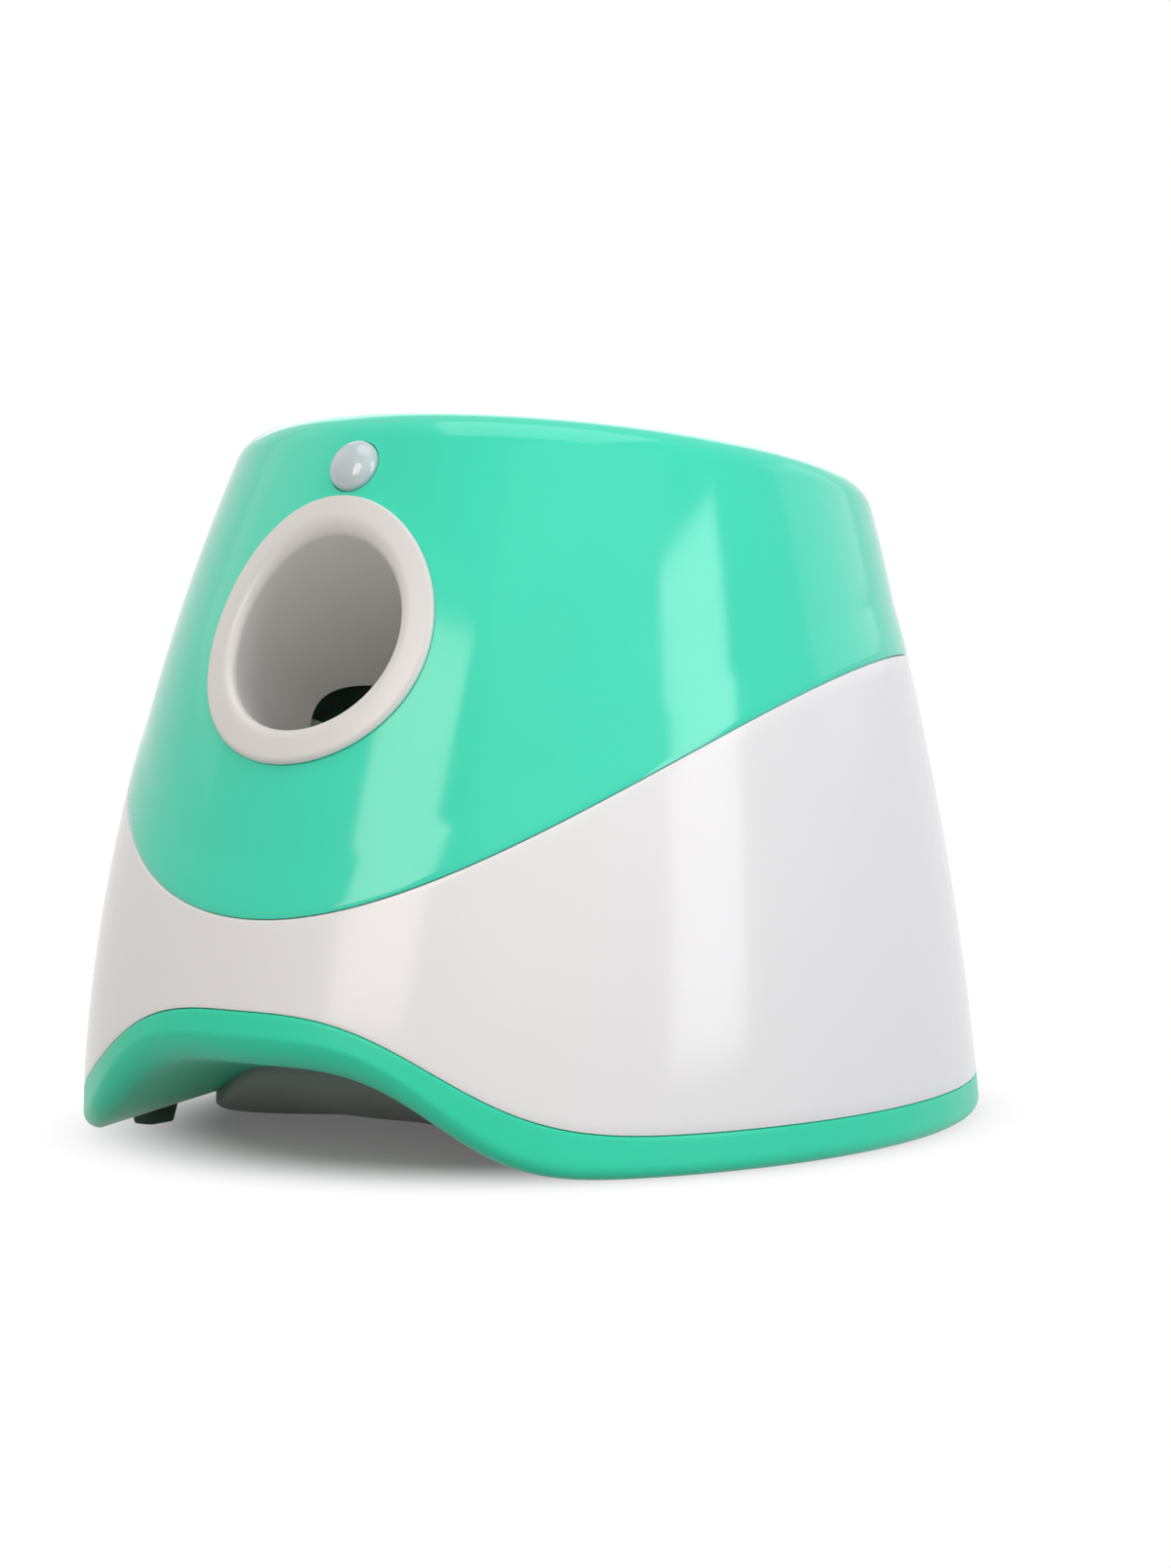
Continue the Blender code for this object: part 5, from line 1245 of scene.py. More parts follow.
    def lower_shell(self) -> None:
        """White shell with the holes of the button, its lights and the power inlet."""
        angles = BODY.angles
        skirt, seam = self.skirt_top(angles), BODY.seam(angles)
        bore = (self.boss_low - OVERCUT, self.tunnel_top + self.screw_length + OVERCUT)
        stations = self.wall(skirt + GAP / 2 + self.edge, seam - GAP / 2 - self.edge, 34)
        stations += self.tongue(seam)
        stations += self.wall(skirt + LAP, seam, 4, WALL)[::-1]
        stations += self.cover(skirt)
        shell = self.band("casing_lower", stations)
        carve(shell, self.screw_bosses(), joins=True)
        panel = BODY.outward(self.button_height, rear=True)
        wide, small = (-self.wide_hole_depth, OVERCUT), (-self.small_hole_depth, OVERCUT)
        holes = [rod("button_hole", self.button_hole, wide, 96, panel)]
        for step in (-1, 0, 1):
            spot = panel @ Matrix.Translation((step * self.light_spacing, -self.light_rise, 0))
            holes.append(rod("light_hole", self.light_hole, small, 40, spot))
        holes.append(rod("jack_hole", self.jack_hole, small, 64, BODY.outward(self.jack_height, rear=True)))
        holes += [rod("boss_bore", self.screw_hole, bore, 24, place) for place in self.screw_places()]
        carve(shell, holes)
        settle(shell, Slot.SHELL_WHITE, Body.ROOT, "lower_shell")

    def base_skirt(self) -> None:
        """Green band with the front arch, turned under to the floor pan."""
        angles = BODY.angles
        low, high = self.skirt_bottom(angles), self.skirt_top(angles)
        soffit, lower = self.soffit(angles), self.lower_round(angles)
        stations = [(self.soffit_inset, soffit)]
        for share in (number / 10 for number in range(1, 10)):
            inset = self.soffit_inset + (lower - self.soffit_inset) * share
            stations.append((inset, soffit + (low - soffit) * share))
        flat = self.arch_flat * self.arch(angles)
        for share in np.linspace(1, 0, 13):
            turn = share * math.pi / 2
            inset = (1 - math.cos(turn)) * (1 - flat) + share * flat
            rise = (1 - math.sin(turn)) * (1 - flat) + (1 - share) * flat
            stations.append((lower * inset, low + lower * rise))
        stations += self.wall(low + lower, high - GAP / 2 - self.edge, 6)
        stations += self.tongue(high)
        stations += [(WALL, low + lower), (np.maximum(lower, WALL + LIP), low + lower * 0.6)]
        stations += [(self.soffit_inset, soffit + WALL)]
        skirt = self.band("base_band", stations)
        carve(skirt, self.tunnels(), joins=True)
        carve(skirt, self.tunnel_bores())
        settle(skirt, Slot.BASE_GREEN, Body.ROOT, "base_skirt")

    def tunnels(self) -> list[bpy.types.Object]:
        """Round tunnels that the case screws stand in."""
        ends = (self.tunnel_low, self.tunnel_top)
        return [rod("tunnel", self.tunnel_radius, ends, 40, place) for place in self.screw_places()]

    def tunnel_bores(self) -> list[bpy.types.Object]:
        """Makes the counterbore of each tunnel, with the screw's hole above its seat.

        Returns:
            The cutters.
        """
        seat = self.tunnel_top - self.tunnel_seat
        profile = [(self.screw_hole, self.tunnel_top + OVERCUT), (self.screw_hole, seat)]
        profile += [(self.tunnel_bore, seat), (self.tunnel_bore, -OVERCUT)]
        return [placed(turned("tunnel_bore", profile, 40), place) for place in self.screw_places()]

    def build(self) -> None:
        """Builds the three shells."""
        self.upper_shell()
        self.lower_shell()
        self.base_skirt()


CASING = Casing()


@dataclass
class Hopper:
    """White funnel from the rim of the casing to the throat over the chamber."""

    seat: float = 0.003
    wall: float = 0.0022
    throat_radius: float = 0.0275
    throat_y: float = -0.025519
    throat_low: float = 0.126
    throat_high: float = 0.165
    straight: float = 0.35
    curve: float = 2.2
    lip_round: float = 0.0008

    def bowl_ring(self, share: float, grow: float) -> Ring:
        """Ring of the bowl.

        Args:
            share: Zero at the throat, one at the rim.
            grow: How far out of the bowl's inner face it lies.

        Returns:
            The ring's points.
        """
        angles = BODY.angles
        rim_z = BODY.top(angles) - self.seat
        rim = BODY.ring(angles, rim_z, CASING.rim_inset + GAP + self.wall - grow)
        radius = self.throat_radius + grow
        flat = np.full(len(angles), self.throat_high)
        throat = np.stack([radius * np.sin(angles), self.throat_y - radius * np.cos(angles), flat], axis=1)
        points = throat + (rim - throat) * share
        steep = self.straight * share + (1 - self.straight) * share**self.curve
        points[:, 2] = self.throat_high + (rim_z - self.throat_high) * steep - grow
        return points

    def throat_ring(self, grow: float, z: float) -> Ring:
        """Ring of the round throat.

        Args:
            grow: How far out of the inner face it lies.
            z: Its height.

        Returns:
            The ring's points.
        """
        points = self.bowl_ring(0, grow)
        points[:, 2] = z
        return points

    def build(self) -> None:
        """Builds the funnel with a rounded lip and a rounded turn into the throat."""
        shares = (np.linspace(0, 1, 25) ** 1.3).tolist()
        inner = [self.bowl_ring(share, 0) for share in shares]
        lip = [self.bowl_ring(1, 0), self.bowl_ring(1, self.wall / 2), self.bowl_ring(1, self.wall)]
        rim_z = inner[-1][:, 2].copy()
        lip[0][:, 2] = rim_z
        lip[1][:, 2] = rim_z + self.lip_round / 2
        lip[2][:, 2] = rim_z
        outer = [self.bowl_ring(share, self.wall) for share in reversed(shares)]
        throats = [self.throat_ring(grow, self.throat_low) for grow in (self.wall, 0)]
        rings = inner + lip[1:] + outer + throats
        rings.append(self.throat_ring(0, (self.throat_low + self.throat_high) / 2))
        bowl = loft("hopper_funnel", rings, closed=True)
        settle(bowl, Slot.SHELL_WHITE, Body.ROOT, "hopper_bowl")


@dataclass
class LaunchTube:
    """Mouth ring that follows the wall and rolls into the bore."""

    bore: float = 0.0305
    wall: float = 0.0025
    depth: float = 0.050
    spigot: float = 0.0367
    ring_radius: float = 0.0415
    proud: float = 0.0020
    ring_edge: float = 0.0012
    seat: float = 0.0045
    roll: float = 0.0045
    end_rise: float = 0.008
    end_setback: float = 0.0025
    end_curve: float = 45.0
    end_room: tuple[float, float] = (0.0025, 0.0105)
    segments: int = 192

    def ring_at(self, radius: float, rise: float) -> Ring:
        """Ring that follows the wall, in the launch frame.

        Args:
            radius: The ring's radius.
            rise: How far it stands over the wall.

        Returns:
            The ring's points.
        """
        ring = circle(radius, 0, self.segments)
        ring[:, 2] = BODY.reach(CASING.mouth_frame(), ring[:, 0], ring[:, 1]) + rise
        return ring

    def end_ring(self, radius: float) -> Ring:
        """Ring at the tube's far end, set back beside the wheels and longer over them.

        Args:
            radius: The ring's radius.

        Returns:
            The ring's points.
        """
        ring = circle(radius, 0, self.segments)
        up = ring[:, 1] - self.end_rise
        room = np.where(up < 0, *self.end_room)
        ring[:, 2] = self.end_setback - self.depth - np.minimum(self.end_curve * up**2, room)
        return ring

    def build(self) -> None:
        """Builds the ring and tube as one closed shell."""
        outer = self.bore + self.wall
        stations = [(outer, -self.seat), (self.spigot, -self.seat)]
        stations += [(self.spigot, GAP), (self.ring_radius, GAP)]
        for turn in np.linspace(0, math.pi / 2, 7):
            rise = self.proud - self.ring_edge * (1 - math.sin(turn))
            stations.append((self.ring_radius - self.ring_edge * (1 - math.cos(turn)), rise))
        for turn in np.linspace(math.pi / 2, 0, 17):
            rise = self.proud - self.roll * (1 - math.sin(turn))
            stations.append((self.bore + self.roll * (1 - math.cos(turn)), rise))
        rings = [self.ring_at(radius, rise) for radius, rise in stations]
        for share in (0.25, 0.5, 0.75):
            ring = self.ring_at(self.bore, self.proud - self.roll)
            ring[:, 2] += (-self.depth - ring[:, 2]) * share
            rings.append(ring)
        rings += [self.end_ring(self.bore), self.end_ring(outer)]
        tube = loft("mouth_ring", rings, closed=True)
        placed(tube, CASING.mouth_frame())
        settle(tube, Slot.RING_WHITE, Body.ROOT, "launch_tube")


@dataclass
class MotionLens:
    """Milky dome over the motion sensor, with its flange behind the wall."""

    radius: float = 0.0085
    dome: float = 0.0048
    skin: float = 0.0010
    flange_radius: float = 0.0099
    flange: float = 0.0014
    flange_sink: float = 0.0012
    tip: float = 0.00015

    def arc(self, radius: float, rise: float) -> Profile:
        """Quarter of an ellipse from its tip to its edge."""
        turns = np.linspace(math.pi / 2, 0, 25)
        return [(max(radius * math.cos(turn), self.tip), rise * math.sin(turn)) for turn in turns]

    def build(self) -> None:
        """Builds the hollow dome."""
        top = -WALL - self.flange_sink
        low = top - self.flange
        inner = self.radius - self.skin
        profile = self.arc(self.radius, self.dome)
        profile += [(self.radius, top), (self.flange_radius, top), (self.flange_radius, low), (inner, low)]
        profile += self.arc(inner, self.dome - self.skin)[::-1]
        lens = placed(turned("sensor_dome", profile, 96), BODY.outward(CASING.eye_height))
        settle(lens, Slot.LENS_WHITE, Body.ROOT, "motion_lens")


@dataclass
class ThrowingWheel:
    """One throwing wheel: acetal hub, elastomer tyre and the motor's shaft."""

    side: int
    body: Body
    radius: float = 0.0235
    width: float = 0.014
    tyre_thickness: float = 0.005
    hollow: float = 0.0012
    hub_web: float = 0.004
    boss: float = 0.005
    shaft: float = 0.0015
    shaft_low: float = -0.0185
    hub_rim: float = 0.0025
    hole: float = 0.0026
    holes: int = 6
    rib: float = 0.0006
    rib_share: float = 0.7
    offset: float = 0.0465
    depth: float = 0.075

    @property
    def label(self) -> str:
        """Left or right, as seen from in front of the mouth."""
        return "left" if self.side < 0 else "right"

    def frame(self) -> Matrix:
        """Frame on the wheel's axis."""
        place = Matrix.Translation((self.side * self.offset, 0, -self.depth))
        return CASING.mouth_frame() @ place @ Matrix.Rotation(-math.pi / 2, 4, "X")

    def tyre(self) -> None:
        """Tyre with a hollowed tread between rounded shoulders."""
        half = self.width / 2
        inner = self.radius - self.tyre_thickness
        tread = []
        for share in np.linspace(1, -1, 21):
            tread.append((self.radius - self.hollow * (1 - share**2), share * (half - self.hollow)))
        shoulder = fillet(
            (self.radius, half), (self.radius - self.hollow, half), (self.radius, half - self.hollow), 5
        )
        low_shoulder = [(radius, -height) for radius, height in reversed(shoulder)]
        profile = [(inner, half)] + shoulder[:-1] + tread + low_shoulder[1:] + [(inner, -half)]
        piece = placed(turned("tyre_" + self.label, profile, 144, closed=True), self.frame())
        settle(piece, Slot.TYRE, self.body, "wheel_tyre_" + self.label)

    def hub(self) -> None:
        """Hub with a boss, a thin ribbed web with round holes, and a rim."""
        half, web = self.width / 2, self.hub_web / 2
        rim = self.radius - self.tyre_thickness - GAP
        dish = rim - self.hub_rim
        bore = self.shaft + AXIS
        profile = [(bore, half), (self.boss, half), (self.boss, web), (dish, web), (dish, half), (rim, half)]
        profile += [(radius, -height) for radius, height in reversed(profile)]
        piece = turned("hub_" + self.label, profile, closed=True)
        holes, ribs = [], []
        reach = Matrix.Translation(((dish + self.boss) / 2, 0, 0))
        high, root = half * self.rib_share, 0.0005
        for number in range(self.holes):
            turn, between = (
                Matrix.Rotation(TURN * (number + share) / self.holes, 4, "Z") for share in (0, 0.5)
            )
            holes.append(rod("hub_hole", self.hole, (-web - MM, web + MM), 40, turn @ reach))
            rib = box_piece("hub_rib", (self.boss - root, -self.rib, -high), (dish + root, self.rib, high))
            ribs.append(placed(rib, between))
        carve(piece, holes)
        carve(piece, ribs, joins=True)
        bevelled(piece, 0.2)
        settle(placed(piece, self.frame()), Slot.HUB_WHITE, self.body, "wheel_hub_" + self.label)

    def shaft_end(self) -> None:
        """Ground shaft with a small round at its end."""
        half = self.width / 2
        profile = rounded([(AXIS, half, 0), (self.shaft, half, 0.0004), (self.shaft, self.shaft_low, 0)])
        piece = turned("shaft_" + self.label, profile, 40)
        settle(placed(piece, self.frame()), Slot.STEEL, self.body, "wheel_shaft_" + self.label)

    def build(self) -> None:
        """Builds tyre, hub and shaft."""
        self.tyre()
        self.hub()
        self.shaft_end()


@dataclass
class Chamber:
    """Green trough that leads up to the wheels and is open to them at its sides."""

    radius: float = 0.027
    wall: float = 0.0025
    start: float = 0.0525
    wide_from: float = 0.1025
    widen: float = 0.002
    narrow_arc: float = math.radians(62)
    wide_arc: float = math.radians(90)
    back: float = 0.1535
    back_wall: float = 0.0025
    lip: float = 0.0003
    side_rise: float = 0.018
    edge_rise: float = 0.0006
    slot_width: float = 0.014
    slot_start: float = 0.126
    slot_top: float = 0.011
    pan_top: float = 0.0099
    leg: tuple[float, float] = (0.004, 0.008)
    legs: tuple[tuple[float, float], ...] = ((0.01850375, 0.07), (0.02500125, 0.14))
    sensor_depth: float = 0.1281
    sensor_window: float = 0.0095
    sensor_nose: tuple[float, float] = (0.0215, 0.0135)
    pivot: tuple[float, float] = (0.036, 0.0115)
    pivot_hub: float = 0.003
    pin_hole: float = 0.0013
    ear: float = 0.0016
    ear_inner: float = 0.0035
    ear_reach: float = 0.0496
    ear_drop: float = 0.0125

    def section(self, depth: float, half_arc: float, rise: float) -> Ring:
        """Section across the trough: inner arc, then outer arc back, with upright ends.

        Args:
            depth: Its place along the launch line, from the mouth inwards.
            half_arc: How far the arcs reach on either side of the bottom.
            rise: Height of the upright ends.

        Returns:
            The section's points.
        """
        rows = []
        turns = np.linspace(-half_arc, half_arc, 49)
        for radius, direction in ((self.radius, 1), (self.radius + self.wall, -1)):
            arc = [(radius * math.sin(turn), -radius * math.cos(turn)) for turn in turns]
            arc = [(arc[0][0], arc[0][1] + rise)] + arc + [(arc[-1][0], arc[-1][1] + rise)]
            rows += arc[::direction]
        return np.array([(x, y, -depth) for x, y in rows])

    def leg_shape(self, x: float, depth: float) -> bpy.types.Object:
        """Upright leg from the pan into the trough's wall, in the launch frame.

        Args:
            x: Where it meets the trough, across the launch line.
            depth: The same along the launch line.

        Returns:
            The leg.
        """
        middle = self.radius + self.wall / 2
        top = CASING.mouth_frame() @ Vector((x, -math.sqrt(middle**2 - x**2), -depth))
        wide, long = self.leg
        low = (x - wide / 2, top.y - long / 2, self.pan_top)
        leg = box_piece("chamber_leg", low, (x + wide / 2, top.y + long / 2, top.z))
        return placed(leg, CASING.mouth_frame().inverted())

    def ears(self) -> list[bpy.types.Object]:
        """Makes the two ears on the side wall that hold the sensor's pin and switch.

        Returns:
            The ears, to be joined to the trough.
        """
        root = self.radius + self.wall / 2
        near, far = -self.sensor_depth + self.ear_inner, -self.sensor_depth - self.ear_inner
        top = self.side_rise - self.edge_rise
        low = self.pivot[1] - self.pivot_hub
        short = box_piece("ear", (root, low, near), (self.pivot[0] + self.pivot_hub, top, near + self.ear))
        long = box_piece("ear", (root, low - self.ear_drop, far - self.ear), (self.ear_reach, top, far))
        return [short, long]

    def back_plate(self) -> bpy.types.Object:
        """Makes the plate that closes the trough's far end.

        Returns:
            The plate, to be joined to the trough.
        """
        outer = self.radius + self.wall / 2
        top = self.side_rise - self.lip
        turns = np.linspace(-math.pi / 2, math.pi / 2, 49)
        arc = [(outer * math.sin(turn), -outer * math.cos(turn)) for turn in turns]
        outline = [(-outer, top), *arc, (outer, top)]
        depths = (self.back + self.back_wall - self.lip, self.back)
        return loft("back_plate", [np.array([(x, y, -depth) for x, y in outline]) for depth in depths])

    def openings(self) -> list[bpy.types.Object]:
        """Makes the arm's slot, the sensor's window and the pin's holes.

        Returns:
            The cutters.
        """
        low, wide = -self.radius - self.wall - OVERCUT, self.slot_width / 2
        far = -self.back - self.back_wall - OVERCUT
        slot = box_piece("arm_slot", (-wide, low, far), (wide, self.slot_top, -self.slot_start))
        half, (nose, drop) = self.sensor_window / 2, self.sensor_nose
        window = box_piece(
            "sensor_window",
            (nose, -drop, -self.sensor_depth - half),
            (-low, self.side_rise + OVERCUT, half - self.sensor_depth),
        )
        reach = self.ear_inner + self.ear + OVERCUT
        axis = Matrix.Translation((*self.pivot, -self.sensor_depth))
        return [slot, window, rod("pin_hole", self.pin_hole, (-reach, reach), 24, axis)]

    def build(self) -> None:
        """Builds the trough with its back plate, legs and ears, and cuts its slots."""
        narrow, wide = (self.narrow_arc, self.edge_rise), (self.wide_arc, self.side_rise)
        rings = [self.section(depth, *narrow) for depth in (self.start, self.wide_from)]
        far = self.back + self.back_wall
        rings += [self.section(depth, *wide) for depth in (self.wide_from + self.widen, far)]
        trough = loft("launch_trough", rings)
        legs = [self.leg_shape(side * x, depth) for side in (-1, 1) for x, depth in self.legs]
        carve(trough, [self.back_plate(), *legs, *self.ears()], joins=True)
        carve(trough, self.openings())
        bevelled(trough, 0.3)
        settle(placed(trough, CASING.mouth_frame()), Slot.CHAMBER_GREEN, Body.ROOT, "launch_chamber")


@dataclass
class RearPanel:
    """Push button, light pipes and power inlet in the rear wall."""

    button: float = 0.009
    proud: float = 0.0016
    round: float = 0.0008
    depth: float = 0.0075
    collar: float = 0.0016
    travel: float = 0.0012
    dish: float = 0.0006
    dish_places: tuple[float, ...] = (AXIS, 0.002, 0.004, 0.0056, 0.0066, 0.0072)
    edge_run: float = 0.0012
    light: float = 0.002
    light_proud: float = 0.0003
    light_flange: float = 0.001
    board_depth: float = 0.0128
    jack: float = 0.0046
    jack_bore: float = 0.0028
    jack_pin: float = 0.0010
    jack_flange: tuple[float, float] = (0.0064, 0.001)
    jack_length: float = 0.0125
    jack_floor: float = 0.003

    def push_button(self) -> None:
        """Button with a dished face, a collar behind the wall and a stem."""
        top = -WALL - self.travel / 2
        wide = self.button + self.collar
        last = self.dish_places[-1]
        profile = [(place, self.proud - self.dish * (1 - (place / last) ** 2)) for place in self.dish_places]
        corner, start = (self.button, self.proud), (self.button - self.edge_run, self.proud)
        profile += fillet(corner, start, (self.button, self.proud - self.round), 6)
        profile += [(self.button, top), (wide, top), (wide, top - self.collar)]
        profile += [(self.button, top - self.collar), (self.button - self.collar, -self.depth)]
        piece = placed(turned("start_button", profile, 96), BODY.outward(CASING.button_height, rear=True))
        settle(piece, Slot.BUTTON_GREY, Body.BUTTON, "push_button")

    def light_pipes(self) -> None:
        """Three clear pipes whose ends stand just out of the wall."""
        frame = BODY.outward(CASING.button_height, rear=True)
        low = -WALL - self.light_flange
        top, wide = low + self.light_flange / 2, self.light + self.light_flange
        turns = np.linspace(0.08, math.pi / 2, 9)
        dome = [(self.light * math.sin(turn), self.light_proud * math.cos(turn)) for turn in turns]
        y = -CASING.light_rise
        for number, step in enumerate((-1, 0, 1), 1):
            x = step * CASING.light_spacing
            rise = float(BODY.reach(frame, np.array([x]), np.array([y]))[0])
            foot = -self.board_depth + GAP - rise
            profile = dome + [(self.light, top), (wide, top), (wide, low)]
            profile += [(self.light, low), (self.light, foot)]
            spot = frame @ Matrix.Translation((x, y, rise))
            pipe = placed(turned(f"light_{number}", profile, 40), spot)
            settle(pipe, Slot.LIGHT_CLEAR, Body.ROOT, f"light_pipe_{number}")

    def power_inlet(self) -> None:
        """Round inlet with a rolled flange, and its pin as a bright piece of its own."""
        (wide, thick), low = self.jack_flange, -self.jack_length
        rim, floor, hole = GAP + thick, self.jack_floor + low, self.jack_pin + 0.0001
        profile = rounded([
            (hole, floor, 0), (self.jack_bore, floor, 0), (self.jack_bore, rim, 0.0004), (wide, rim, 0.0005),
            (wide, GAP, 0), (self.jack, GAP, 0), (self.jack, low, 0), (hole, low, 0),
        ])
        frame = BODY.outward(CASING.jack_height, rear=True)
        inlet = placed(turned("inlet_socket", profile, 64, closed=True), frame)
        settle(inlet, Slot.PLASTIC_BLACK, Body.ROOT, "power_inlet")
        pin = rounded([(0.0001, -thick, 0), (self.jack_pin, -thick, 0.0005), (self.jack_pin, low, 0)])
        settle(placed(turned("inlet_pin", pin, 32), frame), Slot.NICKEL, Body.ROOT)

    def build(self) -> None:
        """Builds button, lights and inlet."""
        self.push_button()
        self.light_pipes()
        self.power_inlet()


@dataclass
class Underside:
    """Floor pan, battery door, screws and feet."""

    pan_low: float = 0.007
    pan_wall: float = 0.0026
    rim_rise: float = 0.007
    rim_wall: float = 0.0026
    bow: tuple[float, float] = (0.050, 0.0185)
    edge: float = 0.0015
    groove: float = 0.0006
    groove_depth: float = 0.001
    groove_first: tuple[float, float, float] = (0.066, 0.0345, 0.034)
    groove_step: tuple[float, float] = (0.004, 0.003)
    grip: tuple[float, float, float] = (0.0004, 0.016, 0.0006)
    grip_first: float = 0.012
    grip_step: float = 0.0018
    box: tuple[tuple[float, float], tuple[float, float]] = ((-0.05525, -0.007994), (0.05525, 0.077006))
    box_wall: float = 0.002
    door_fit: float = 0.0004
    door_thick: float = 0.0022
    door_screw_inset: float = 0.006
    screw: float = 0.0014
    head: tuple[float, float] = (0.0034, 0.0022)
    recess: tuple[float, float, float] = (0.0017, 0.00035, 0.0011)
    foot_inset: float = 0.0215
    foot_size: tuple[float, float] = (0.010, 0.016)
    foot_taper: float = 0.001
    foot_taper_top: float = 0.006
    foot_corner: float = 0.003
    foot_edge: tuple[float, float, float] = (0.0, 0.0003, 0.0006)
    foot_tread: float = 0.06
    foot_seat: float = 0.0005
    foot_angles: tuple[tuple[str, int], ...] = (
        ("front_right", 51), ("rear_right", 130), ("rear_left", 230), ("front_left", 309),
    )

    def pan(self) -> None:
        """Grey pan with an upright rim, a bow under the arch, grooves and the battery opening."""
        angles = BODY.angles
        inset = CASING.soffit_inset + GAP
        rim = CASING.soffit(angles) + self.rim_rise
        wide, tall = (self.edge + size * CASING.arch(angles) for size in self.bow)

        def turned_up(wall: float, sweep: np.ndarray) -> list[Ring]:
            """The pan's round between its flat and its rim, at one face of its wall.

            Args:
                wall: How far in the face lies.
                sweep: Shares of the round, from zero at the rim to one at the flat.

            Returns:
                One ring for each share.
            """
            return [
                BODY.ring(
                    angles,
                    self.pan_low + wall + tall * (1 - math.sin(turn)),
                    inset + wall + wide * (1 - math.cos(turn)),
                )
                for turn in sweep * math.pi / 2
            ]

        edges = [BODY.ring(angles, rim, inset + self.rim_wall), BODY.ring(angles, rim, inset)]
        inside, outside = np.linspace(1, 0, 13), np.linspace(0, 1, 13)
        pan = loft("base_pan", [*turned_up(self.rim_wall, inside), *edges, *turned_up(0.0, outside)])
        (left, front), (right, rear) = self.box
        wall, top = self.box_wall, self.pan_low + self.pan_wall + OVERCUT
        low = (left + wall, front + wall, self.pan_low - OVERCUT)
        cutters = [box_piece("door_opening", low, (right - wall, rear - wall, top))]
        out, middle, reach = self.groove_first
        for side in (-1, 1):
            for step in range(5):
                x, long = side * (out + self.groove_step[0] * step), reach - self.groove_step[1] * step
                low = (x - self.groove, middle - long, self.pan_low - self.groove_depth)
                high = (x + self.groove, middle + long, self.pan_low + self.groove_depth)
                cutters.append(box_piece("pan_groove", low, high))
        carve(pan, cutters)
        settle(pan, Slot.BASE_GREY, Body.ROOT, "floor_pan")

    def door_screws(self) -> list[tuple[float, float]]:
        """Where the door's screws stand.

        Returns:
            Their places on the floor.
        """
        (left, front), (right, rear) = self.box
        inset = self.box_wall + self.door_fit + self.door_screw_inset
        return [(side * (right - inset), (front + rear) / 2) for side in (-1, 1)]

    def door(self) -> None:
        """Battery door with rounded edges, a grip of fine ribs and two screw holes."""
        (left, front), (right, rear) = self.box
        fit = self.box_wall + self.door_fit
        low = (left + fit, front + fit, self.pan_low)
        door = box_piece("cell_door", low, (right - fit, rear - fit, self.pan_low + self.door_thick))
        ends = (self.pan_low - OVERCUT, self.pan_low + self.door_thick + OVERCUT)
        cutters = [
            rod("door_hole", self.screw + GAP, ends, 24, Matrix.Translation((x, y, 0)))
            for x, y in self.door_screws()
        ]
        half, reach, deep = self.grip
        for step in range(9):
            y = rear - self.grip_first - self.grip_step * step
            low = (-reach, y - half, self.pan_low - MM)
            cutters.append(box_piece("grip_groove", low, (reach, y + half, self.pan_low + deep)))
        carve(door, cutters)
        bevelled(door, 0.3)
        settle(door, Slot.BASE_GREY, Body.ROOT, "battery_door")

    def screw_piece(self, name: str, under: float, length: float) -> bpy.types.Object:
        """Screw with a domed head below its seat and a cross recess.

        Args:
            name: Name of the piece.
            under: Height of the head's seat.
            length: Length of the shank above it.

        Returns:
            The screw, upright on the Z axis.
        """
        (wide, high), tip = self.head, under + length
        turns = np.linspace(0, 1.45, 9)
        dome = [(wide * math.cos(turn), under - high / 2 * (1 + math.sin(turn))) for turn in turns]
        profile = [(AXIS, tip), (self.screw * 0.6, tip), (self.screw, tip - MM)]
        screw = turned(name, profile + [(self.screw, under), (wide, under)] + dome, 48)
        arms = []
        reach, half, deep = self.recess
        for turn in (0, math.pi / 2):
            arm = box_piece("recess", (-reach, -half, under - high - MM), (reach, half, under - high + deep))
            arms.append(placed(arm, Matrix.Rotation(turn, 4, "Z")))
        carve(screw, arms)
        return screw

    def screws(self) -> None:
        """Case screws in their tunnels and the door's screws."""
        under = CASING.tunnel_top - CASING.tunnel_seat - GAP
        for number, place in enumerate(CASING.screw_places(), 1):
            screw = placed(self.screw_piece(f"screw_{number}", under, CASING.screw_length), place)
            settle(screw, Slot.STEEL, Body.ROOT, f"case_screw_{number}")
        for number, (x, y) in enumerate(self.door_screws(), 1):
            screw = self.screw_piece(f"cover_screw_{number}", self.pan_low - GAP, self.door_thick + GAP)
            placed(screw, Matrix.Translation((x, y, 0)))
            settle(screw, Slot.STEEL, Body.ROOT, f"door_screw_{number}")

    def under_soffit(self, x: float, y: float) -> float:
        """Height of the skirt's sloping underside.

        Args:
            x: Place on the floor, across the body.
            y: The same along it.

        Returns:
            The height over that place.
        """
        z = CASING.soffit_height
        middle, half_depth = BODY.depths(z)
        angle = np.array([math.atan2(x / float(BODY.half_width(z)), (middle - y) / half_depth) % TURN])
        outer = BODY.ring(angle, CASING.skirt_bottom(angle), CASING.lower_round(angle))[0]
        inner = BODY.ring(angle, CASING.soffit(angle), CASING.soffit_inset)[0]
        run = math.dist(inner[:2], outer[:2])
        share = min(max(math.dist((x, y), outer[:2]) / run, 0), 1)
        return float(outer[2] + (inner[2] - outer[2]) * share)

